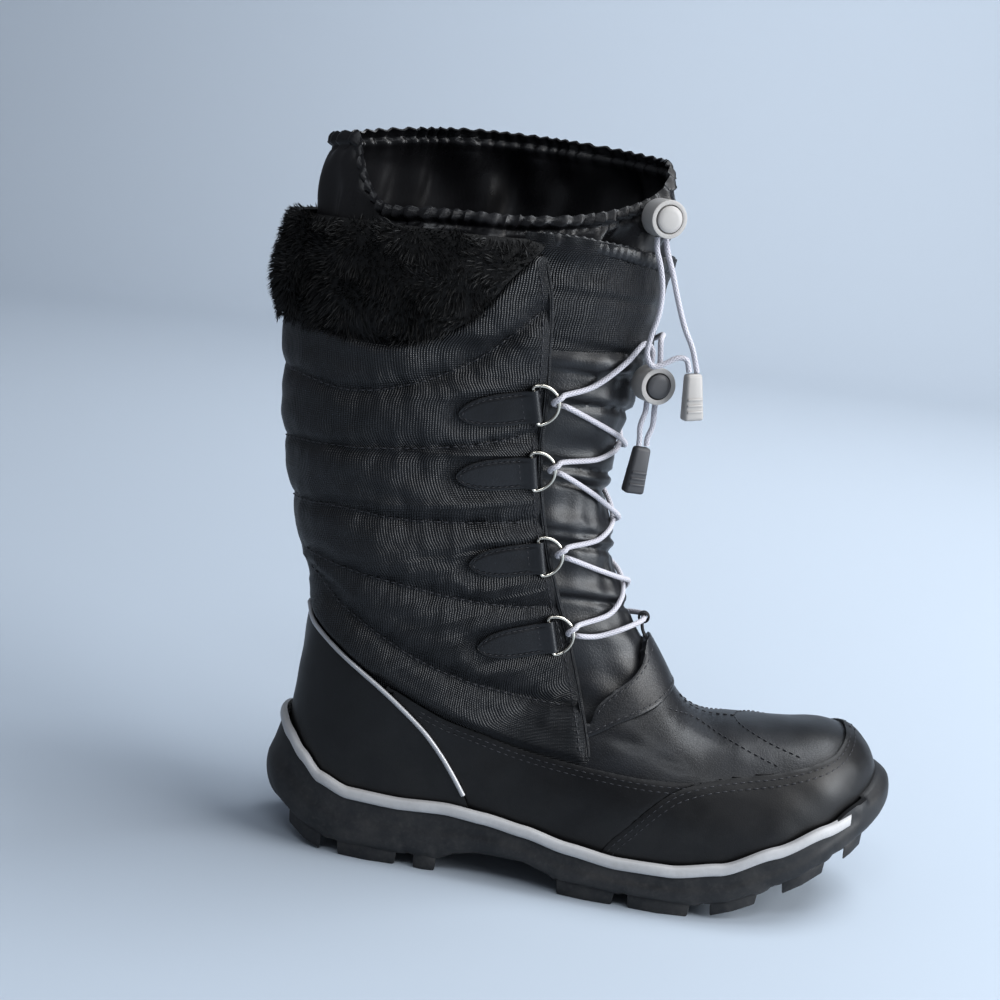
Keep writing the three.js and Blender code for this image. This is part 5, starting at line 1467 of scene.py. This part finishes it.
def cord_lock(name, middle, button, replaced, body_finish, button_finish):
    bpy.ops.object.select_all(action="DESELECT")
    bpy.ops.mesh.primitive_cylinder_add(vertices=48, radius=lock_radius * mm, depth=lock_thick * mm)
    piece = bpy.context.object
    piece.name = piece.data.name = name
    top = lock_thick / 2 * mm
    select_faces(piece, lambda c, n: n[2] > 0.9)
    bpy.ops.mesh.inset(thickness=(lock_radius - button - 0.5) * mm)
    bpy.ops.mesh.extrude_region_move(TRANSFORM_OT_translate={"value": (0, 0, -1.3 * mm)})
    bpy.ops.mesh.inset(thickness=0.45 * mm)
    bpy.ops.mesh.extrude_region_move(TRANSFORM_OT_translate={"value": (0, 0, 1.9 * mm)})
    bpy.ops.mesh.inset(thickness=0.8 * mm)
    bpy.ops.transform.translate(value=(0, 0, 0.45 * mm))
    bpy.ops.mesh.inset(thickness=1.6 * mm)
    bpy.ops.transform.translate(value=(0, 0, 0.2 * mm))
    bpy.ops.object.mode_set(mode="OBJECT")
    select_faces(piece, lambda c, n: n[2] < -0.9)
    bpy.ops.mesh.inset(thickness=1.4 * mm)
    bpy.ops.mesh.extrude_region_move(TRANSFORM_OT_translate={"value": (0, 0, 0.6 * mm)})
    bpy.ops.object.mode_set(mode="OBJECT")
    piece.data.materials.append(body_finish)
    piece.data.materials.append(button_finish)
    for face in piece.data.polygons:
        place = Vector(face.center)
        if place.z > top - 1.5 * mm and math.hypot(place.x, place.y) < (button + 0.6) * mm:
            face.material_index = 1
    apply_modifier(piece, "BEVEL", width=0.55 * mm, segments=3, limit_method="ANGLE", angle_limit=math.radians(40))
    piece.matrix_world = Matrix.Translation(Vector(middle) * mm) @ lock_turn.to_matrix().to_4x4()
    return finish_piece(piece, [replaced], 40)


cuff_lock = cord_lock("cuff_lock_barrel", cuff_lock_middle, 5.7, "cuff_lock", lock_plastic, lock_plastic)
lace_lock = cord_lock("lace_lock_barrel", lace_lock_middle, 5.4, "lace_lock", lock_plastic, lock_dark)


# %% Cord ends
def cord_end(name, top, bottom, replaced, material):
    top, bottom = np.array(top), np.array(bottom)
    length = np.linalg.norm(bottom - top)
    down = unit(bottom - top)
    side = unit(lock_across - down * np.dot(lock_across, down))
    deep = np.cross(down, side)
    bpy.ops.object.select_all(action="DESELECT")
    bpy.ops.mesh.primitive_cube_add(size=1)
    piece = bpy.context.object
    piece.name = piece.data.name = name
    bpy.ops.transform.resize(value=(9.4 * mm, 6.2 * mm, length * mm))
    bpy.ops.object.transform_apply(scale=True)
    select_faces(piece, lambda c, n: n[2] > 0.9)
    bpy.ops.transform.resize(value=(0.80, 0.80, 1))
    bpy.ops.object.mode_set(mode="OBJECT")
    apply_modifier(piece, "BEVEL", width=1.5 * mm, segments=4, limit_method="ANGLE", angle_limit=math.radians(40))
    parts = [piece]
    for level in (-0.30, -0.17, -0.04):
        bpy.ops.object.select_all(action="DESELECT")
        bpy.ops.mesh.primitive_cube_add(size=1, location=(0, 0, level * length * mm))
        ridge = bpy.context.object
        bpy.ops.transform.resize(value=(7.2 * mm, 6.9 * mm, 1.1 * mm))
        bpy.ops.object.transform_apply(location=True, scale=True)
        apply_modifier(ridge, "BEVEL", width=0.35 * mm, segments=2, limit_method="NONE")
        parts.append(ridge)
    piece = join_pieces(parts, name)
    turn = Matrix((tuple(side), tuple(deep), tuple(-down))).transposed()
    if turn.determinant() < 0:
        turn = Matrix((tuple(-side), tuple(deep), tuple(-down))).transposed()
    piece.matrix_world = Matrix.Translation(Vector((top + bottom) / 2) * mm) @ turn.to_4x4()
    return wear_finish(finish_piece(piece, [replaced], 40), material)


lace_end_top, lace_end_bottom = np.array([119.6, -19.2, 203.0]), np.array([117.6, -19.4, 182.0])
cuff_end_top, cuff_end_bottom = np.array([137.4, -24.0, 238.5]), np.array([139.4, -23.6, 218.0])
lace_end = cord_end("lace_end_block", lace_end_top, lace_end_bottom, "lace_end", lock_dark)
cuff_end = cord_end("cuff_cord_end_block", cuff_end_top, cuff_end_bottom, "cuff_cord_end", lock_plastic)

# %% Free ends of the lace
strand_gap = 2.1
exit_face = math.sqrt(lock_radius**2 - (strand_gap + lace_radius) ** 2) + 0.66


def from_lock(middle, across, rise):
    return middle + lock_across * across + np.array([0, 0, rise])


def declare_cord(piece, path, replaced):
    length = float(np.linalg.norm(np.diff(path, axis=0), axis=1).sum()) * mm
    wear_finish(finish_piece(piece, replaced), lace_cloth)
    return length


climbs = {
    1: [shaft_point(229, 0.78, -0.2), shaft_point(240, 0.58, 0.6)],
    -1: [shaft_point(231, -0.78, -0.2), shaft_point(241, -0.5, -0.6), shaft_point(248, -0.2, -0.6),
         shaft_point(251.5, 0.06, 0.4)],
}
lace_lengths = {}
for side, sign in (("lateral", 1), ("medial", -1)):
    start = in_frame(eyelet_frame(eyelets[0], sign), lace_start, strand_shift, -0.4)
    drop = from_lock(lace_lock_middle, -sign * strand_gap, exit_face)
    over = drop + (np.array([-3.4, -0.8, 9.6]) if sign > 0 else np.array([-0.9, 1.6, 10.5]))
    bow = [drop + np.array([-0.5, -0.2, 7.4])] if sign > 0 else [drop + np.array([-0.4, 0, 5])]
    leave = from_lock(lace_lock_middle, -sign * strand_gap, -exit_face)
    arrive = lace_end_top - lock_across * sign * 1.9 + np.array([0.1, 0, 0.5])
    route = [start, *climbs[sign], over, *bow, drop, leave, leave + np.array([0, 0, -4]),
             leave + (arrive - leave) * 0.55 - lock_across * sign * 1.0, arrive + np.array([0, 0, 3.4]), arrive]
    path, _ = round_path(route, 1.4)
    strand = sweep(f"lace_strand_{side}", path, lace_radius, 10)
    lace_lengths[side] = declare_cord(strand, path,
                                      [f"lace_tail_{side}", f"lace_drop_{side}"])

# %% Drawcord of the snow cuff
cuff_routes = {
    1: [(115.2, -28.6, 290), (117.6, -28.8, 283), (119.6, -28.8, 273), (119.4, -28.6, 262.5),
        (117.2, -28.4, 252.5), (116.6, -28.0, 244.5), (119.6, -27.4, 240), (124.6, -26.6, 241.6),
        (129.6, -25.8, 244.6), (133.6, -25.2, 244.4)],
    -1: [(119.6, -26.6, 290), (123.0, -26.2, 281), (126.8, -25.6, 269.5), (131.2, -24.8, 258), (135.8, -23.8, 249)],
}
for side, sign in (("lateral", 1), ("medial", -1)):
    start = from_lock(cuff_lock_middle, -sign * strand_gap, -exit_face)
    arrive = cuff_end_top - lock_across * sign * 1.9 + np.array([-0.1, 0, 0.5])
    path, _ = round_path([start, *map(np.array, cuff_routes[sign]), arrive], 1.4)
    strand = sweep(f"cuff_strand_{side}", path, lace_radius, 10)
    lace_lengths["cuff " + side] = declare_cord(strand, path, [f"cuff_cord_{side}"])
print("free cords:", {k: round(v * 1000) for k, v in lace_lengths.items()}, "mm")

# %% [markdown]
# ## Sole
# The sole is a moulded cup: a rounded sidewall that rises at the heel and turns up over the toe, a pale
# band on top of it, and lugs below. The wall is lofted through closed rings, each the plan outline grown by
# a few millimetres at its own height. The lugs are drawn in plan, extruded up into the wall, tapered and
# bevelled.

# %% Plan outline and heights
sole_rows = np.array([
    (-32, 0, 0), (-30.2, -9.5, 9.5), (-25.2, -19.5, 19.5), (-15, -29, 28.5), (0, -35.3, 34.2), (22, -38.6, 37.2),
    (48, -40.6, 38.8), (76, -43.8, 40.8), (105, -48.2, 43.8), (134, -52.6, 47.6), (160, -54.3, 50), (185, -52.8, 50.2),
    (206, -47.8, 48.3), (222, -40.2, 44.5), (235, -29.5, 38), (244, -16.5, 30), (249.3, -4, 20), (251, 8, 8),
], float)
band_top = [(-31, 58), (-25, 53), (-17, 46), (-8, 38.5), (6, 34), (30, 33), (52, 34), (70, 32.5), (88, 30),
            (108, 26), (130, 23.5), (155, 23.8), (177, 27.5), (200, 37), (222, 46.5), (236, 51.5), (252, 56)]
carcass_line = [(-36, 20), (-24, 14.5), (-12, 9.5), (0, 6.5), (20, 6), (51, 6.5), (58, 10.5), (68, 12.5),
                (88, 12.5), (99, 9.5), (105, 6.5), (137, 6), (166, 6), (180, 8.5), (194, 13.5), (208, 20),
                (222, 27), (240, 37), (254, 45)]
lug_line = [(-30, 11.5), (-22, 7.5), (-12, 3), (-4, 0), (168, 0), (176, 1.8), (188, 6), (200, 11.3), (214, 18),
            (228, 25), (240, 32), (250, 38)]
band_height, band_end = 5.2, 233.0


def eased(line, x):
    """Height along a drawn line, half straight and half eased between its points."""
    xs, zs = np.array(line, float).T
    i = np.clip(np.searchsorted(xs, x) - 1, 0, len(xs) - 2)
    u = np.clip((x - xs[i]) / (xs[i + 1] - xs[i]), 0, 1)
    return zs[i] + (zs[i + 1] - zs[i]) * (0.5 * u + 0.5 * u * u * (3 - 2 * u))


half_count = 190
fine = np.linspace(0, len(sole_rows) - 1, 2000)
side_line = spline(sole_rows, fine)
run = np.concatenate([[0], np.cumsum(np.hypot(*np.diff(side_line[:, :2], axis=0).T))])
places = np.interp(np.linspace(0, run[-1], half_count + 1), run, fine)
side_line = spline(sole_rows, places)
outline = np.concatenate([side_line[:, [0, 1]], side_line[-2:0:-1, [0, 2]]])
for _ in range(6):
    outline = 0.25 * np.roll(outline, 1, 0) + 0.5 * outline + 0.25 * np.roll(outline, -1, 0)
ahead = unit(np.roll(outline, -1, 0) - np.roll(outline, 1, 0))
outline_out = np.stack([ahead[:, 1], -ahead[:, 0]], -1)
plan_x = outline[:, 0]
carcass = eased(carcass_line, plan_x)
band_up = eased(band_top, plan_x)
rise = np.interp(plan_x, [215, band_end - 2, 244, 252], [-band_height, 1.5, 4, 6.5])
wall_top = band_up + np.where(plan_x < 215, -band_height, rise)
heel_flare = np.where(plan_x < 0, 4.6 * np.clip((plan_x / 28) ** 2, 0, 1), 0)
toe_flare = np.where(plan_x > 232, 2.0 * np.clip((plan_x - 232) / 14, 0, 1), 0)


def plan_ring(grow, z):
    return np.concatenate([outline + outline_out * np.asarray(grow)[..., None] * np.ones((len(outline), 1)),
                           np.broadcast_to(z, plan_x.shape)[:, None]], axis=1)


def wall(part):
    return carcass + (wall_top - carcass) * part


def closed_in(ring, k):
    """The ring drawn in towards its own middle line; at 0 both sides meet on it."""
    partner = np.roll(ring[::-1], 1, axis=0)
    middle = (ring + partner) / 2
    return middle + (ring - middle) * k


# %% Outsole wall
toe_in = np.where(plan_x > 240, 2.5, 0)
key_rings = np.array([plan_ring(-2.2 + heel_flare * 0.35, carcass),
                      plan_ring(0.2 + heel_flare * 0.9 + toe_flare * 0.4, wall(0.16)),
                      plan_ring(1.0 + heel_flare + toe_flare, wall(0.42)),
                      plan_ring(0.7 + heel_flare * 0.35 + toe_flare * 0.7, wall(0.8)),
                      plan_ring(0.3 - toe_in, wall(1.0))])
outer = spline(key_rings, np.linspace(0, 4, 21))
step = np.concatenate([[0], np.cumsum(np.hypot(*np.diff(outline, axis=0).T))])
height_share = np.linspace(0, 1, 21)[:, None]
# moulded side blocks: the wall is cut by shallow slanting grooves that line up with the lugs
groove_at = np.array([-26, -1, 35, 51, 104, 134.5, 170, 200, 228])
slant = plan_x[None] + (height_share - 0.2) * 9
near_groove = np.min(np.abs(slant[..., None] - groove_at), axis=-1)
groove = 1.5 * np.exp(-((near_groove / 1.7) ** 2)) * np.clip(1.25 - height_share * 2.2, 0, 1)
step_line = 0.7 * soft((height_share - 0.56) / 0.08)
relief = -(groove + step_line * (plan_x[None] < 236))
outer[..., :2] += outline_out[None] * relief[..., None]
rim = plan_ring(-2.4 - toe_in, wall(1.0) - 0.2)
inner_low = plan_ring(-3.6, carcass + 4.5)
base_rows = [closed_in(outer[0], k) for k in np.linspace(0, 0.94, 12)]
inner_rows = [closed_in(inner_low, k) for k in (0.9, 0.6, 0.3, 0.0)]
rows = np.array([*base_rows, *outer, rim, inner_low, *inner_rows])
rows = np.concatenate([rows, rows[:, :1]], axis=1)
outsole = new_grid("outsole_cup", rows, wrap=True)
only(outsole)
bpy.ops.object.mode_set(mode="EDIT")
bpy.ops.mesh.select_all(action="SELECT")
bpy.ops.mesh.remove_doubles(threshold=2e-5)
bpy.ops.mesh.normals_make_consistent(inside=False)
bpy.ops.object.mode_set(mode="OBJECT")
wear_finish(finish_piece(outsole, ["outsole"], 45), rubber)
print("outsole:", len(outsole.data.polygons), "faces")

# %% Pale band
band_rings = np.array([plan_ring(-1.2, band_up - band_height - 0.3), plan_ring(0.5, band_up - band_height + 0.1),
                       plan_ring(1.15, band_up - band_height + 1.0), plan_ring(1.25, band_up - 2.9),
                       plan_ring(0.9, band_up - 1.2), plan_ring(0.1, band_up - 0.25), plan_ring(-1.7, band_up)])
band_rows = spline(band_rings, np.linspace(0, 6, 19))
start = half_count
band_rows = np.concatenate([band_rows[:, start:], band_rows[:, :start + 1]], axis=1)
band = new_grid("sole_band", band_rows)
trim(band, band_end - band_rows[..., 0])
face_outwards(band, lambda c: unit((c - spine_of(c)) * np.array([1, 1, 0])))
apply_modifier(band, "SOLIDIFY", thickness=1.6 * mm, offset=-1.0)
wear_finish(finish_piece(band, ["midsole_band"], 50), band_rubber)
print("band:", len(band.data.polygons), "faces")

# %% Tread lugs
edge_lugs = [(-23, -3, 15), (2, 33, 13), (38, 51, 15), (104, 133, 15), (136, 167, 15), (173, 196, 16),
             (204, 225, 16), (231, 242, 12)]
middle_lugs = [(-12, 0, 12, 14), (8, 0, 22, 20), (33, 0, 20, 20), (114, -2, 20, 30), (142, -2, 24, 34),
               (172, -1, 24, 32), (200, 1, 20, 30), (224, 5, 16, 22)]


def plan_edge(x, side):
    station = np.interp(x, spline(sole_rows, fine)[:, 0], fine)
    return float(spline(sole_rows, np.array(station))[1 if side < 0 else 2])


def lug(corners):
    """A lug drawn in plan: a flat face is extruded up into the sole, its foot tapered and its edges rounded."""
    bpy.ops.object.select_all(action="DESELECT")
    bpy.ops.mesh.primitive_circle_add(vertices=len(corners), radius=0.01, fill_type="NGON")
    piece = bpy.context.object
    middle = np.mean(corners, axis=0)
    foot = [middle + (np.array(c) - middle) * 0.93 for c in corners]
    place_vertices(piece, [(x, y, float(eased(lug_line, x))) for x, y in foot])
    bpy.ops.object.mode_set(mode="EDIT")
    bpy.ops.mesh.select_all(action="SELECT")
    bpy.ops.mesh.extrude_region_move(TRANSFORM_OT_translate={"value": (0, 0, 6 * mm)})
    bpy.ops.object.mode_set(mode="OBJECT")
    co = vertices_of(piece)
    for i in range(len(corners), 2 * len(corners)):
        nearest = int(np.argmin([math.hypot(co[i, 0] - f[0], co[i, 1] - f[1]) for f in foot]))
        x, y = corners[nearest]
        co[i] = (x, y, float(eased(carcass_line, x)) + 1.5)
    place_vertices(piece, co)
    bpy.ops.object.mode_set(mode="EDIT")
    bpy.ops.mesh.select_all(action="SELECT")
    bpy.ops.mesh.normals_make_consistent(inside=False)
    bpy.ops.object.mode_set(mode="OBJECT")
    apply_modifier(piece, "BEVEL", width=0.9 * mm, segments=2, limit_method="ANGLE", angle_limit=math.radians(40))
    return piece


lugs = []
for low, high, deep in edge_lugs:
    for side in (-1, 1):
        mid = (low + high) / 2
        lugs.append(lug([(low + 1, plan_edge(low + 1, side) - side * 2.4), (mid, plan_edge(mid, side) - side * 1.6),
                         (high - 1, plan_edge(high - 1, side) - side * 2.4),
                         (high - 3, plan_edge(high - 3, side) - side * deep),
                         (low + 3, plan_edge(low + 3, side) - side * deep)]))
for x, y, long, wide in middle_lugs:
    l, w = long / 2, wide / 2
    lugs.append(lug([(x - l, y), (x - l * 0.55, y - w), (x + l * 0.55, y - w), (x + l, y),
                     (x + l * 0.55, y + w), (x - l * 0.55, y + w)]))
tread = join_pieces(lugs, "tread_lugs")
wear_finish(finish_piece(tread, ["outsole"], 35), rubber)
print("tread:", len(edge_lugs) * 2 + len(middle_lugs), "lugs,", len(tread.data.polygons), "faces")

# %% [markdown]
# ## Lining, insole and tongue binding
# What shows through the mouth is part of the boot too: a fleece lining inside the quarters, a felt insole,
# and the gathered binding along the tongue's top edge.

# %% Lining
def lining_keep(x, y, z, at, angle):
    behind_throat = np.maximum(reach_on(quarter_front, z) - 1.2 - x, height_on(throat_base, x) - 2 - z)
    return np.minimum.reduce([284 - z, behind_throat, z - np.interp(x, *np.array(sole_floor).T) - 2])


def lining_offset(x, y, z, at, angle):
    return -2.7 + 0.35 * waves(angle * 40, z, 9, 101) + 0.3 * waves(angle * 40, z, 5, 102)


lining = lay_panel("fleece_lining", even_stations(2.0, 26.2, 3.0), even_angles(-math.pi, math.pi, 3.0, 18),
                   lining_offset, lining_keep, 1.6)
wear_finish(finish_piece(lining), fleece)

# %% Insole
only(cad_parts["insole"])
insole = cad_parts["insole"].copy()
insole.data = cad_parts["insole"].data.copy()
insole.name = insole.data.name = "felt_insole"
for key in list(insole.keys()):
    del insole[key]
insole.parent = None
bpy.context.scene.collection.objects.link(insole)
only(insole)
bpy.ops.object.mode_set(mode="EDIT")
bpy.ops.mesh.select_all(action="SELECT")
bpy.ops.mesh.remove_doubles(threshold=1e-6)
bpy.ops.object.mode_set(mode="OBJECT")
apply_modifier(insole, "BEVEL", width=0.8 * mm, segments=2, limit_method="ANGLE", angle_limit=math.radians(50))
wear_finish(finish_piece(insole, ["insole"], 40), felt)

# %% Tongue binding
binding_path, binding_out = [], []
for a in np.linspace(-1.30, 1.30, 90):
    level = 286.0
    for _ in range(6):
        at = find_at_height(level, a)
        level = float(height_on(tongue_top, last_point(at, a)[0])) - 2.6
    binding_path.append(on_last(at, a, -3.6))
    binding_out.append(last_normal(at, a))
binding_path, binding_out = np.array(binding_path), np.array(binding_out)
run = np.concatenate([[0], np.cumsum(np.linalg.norm(np.diff(binding_path, axis=0), axis=1))])
places = np.arange(0, run[-1], 0.8)
binding_path = np.stack([np.interp(places, run, binding_path[:, k]) for k in range(3)], -1)
binding_out = unit(np.stack([np.interp(places, run, binding_out[:, k]) for k in range(3)], -1))
gathers = 1 + 0.10 * np.sin(2 * math.pi * places / 3.4 + 1.2 * np.sin(places / 9))
binding = sweep("tongue_binding", binding_path, 3.3, 14, flat=0.42, up_hint=binding_out, taper=gathers)
wear_finish(finish_piece(binding), tongue_leather)
print("inside:", [len(p.data.polygons) for p in (lining, insole, binding)])
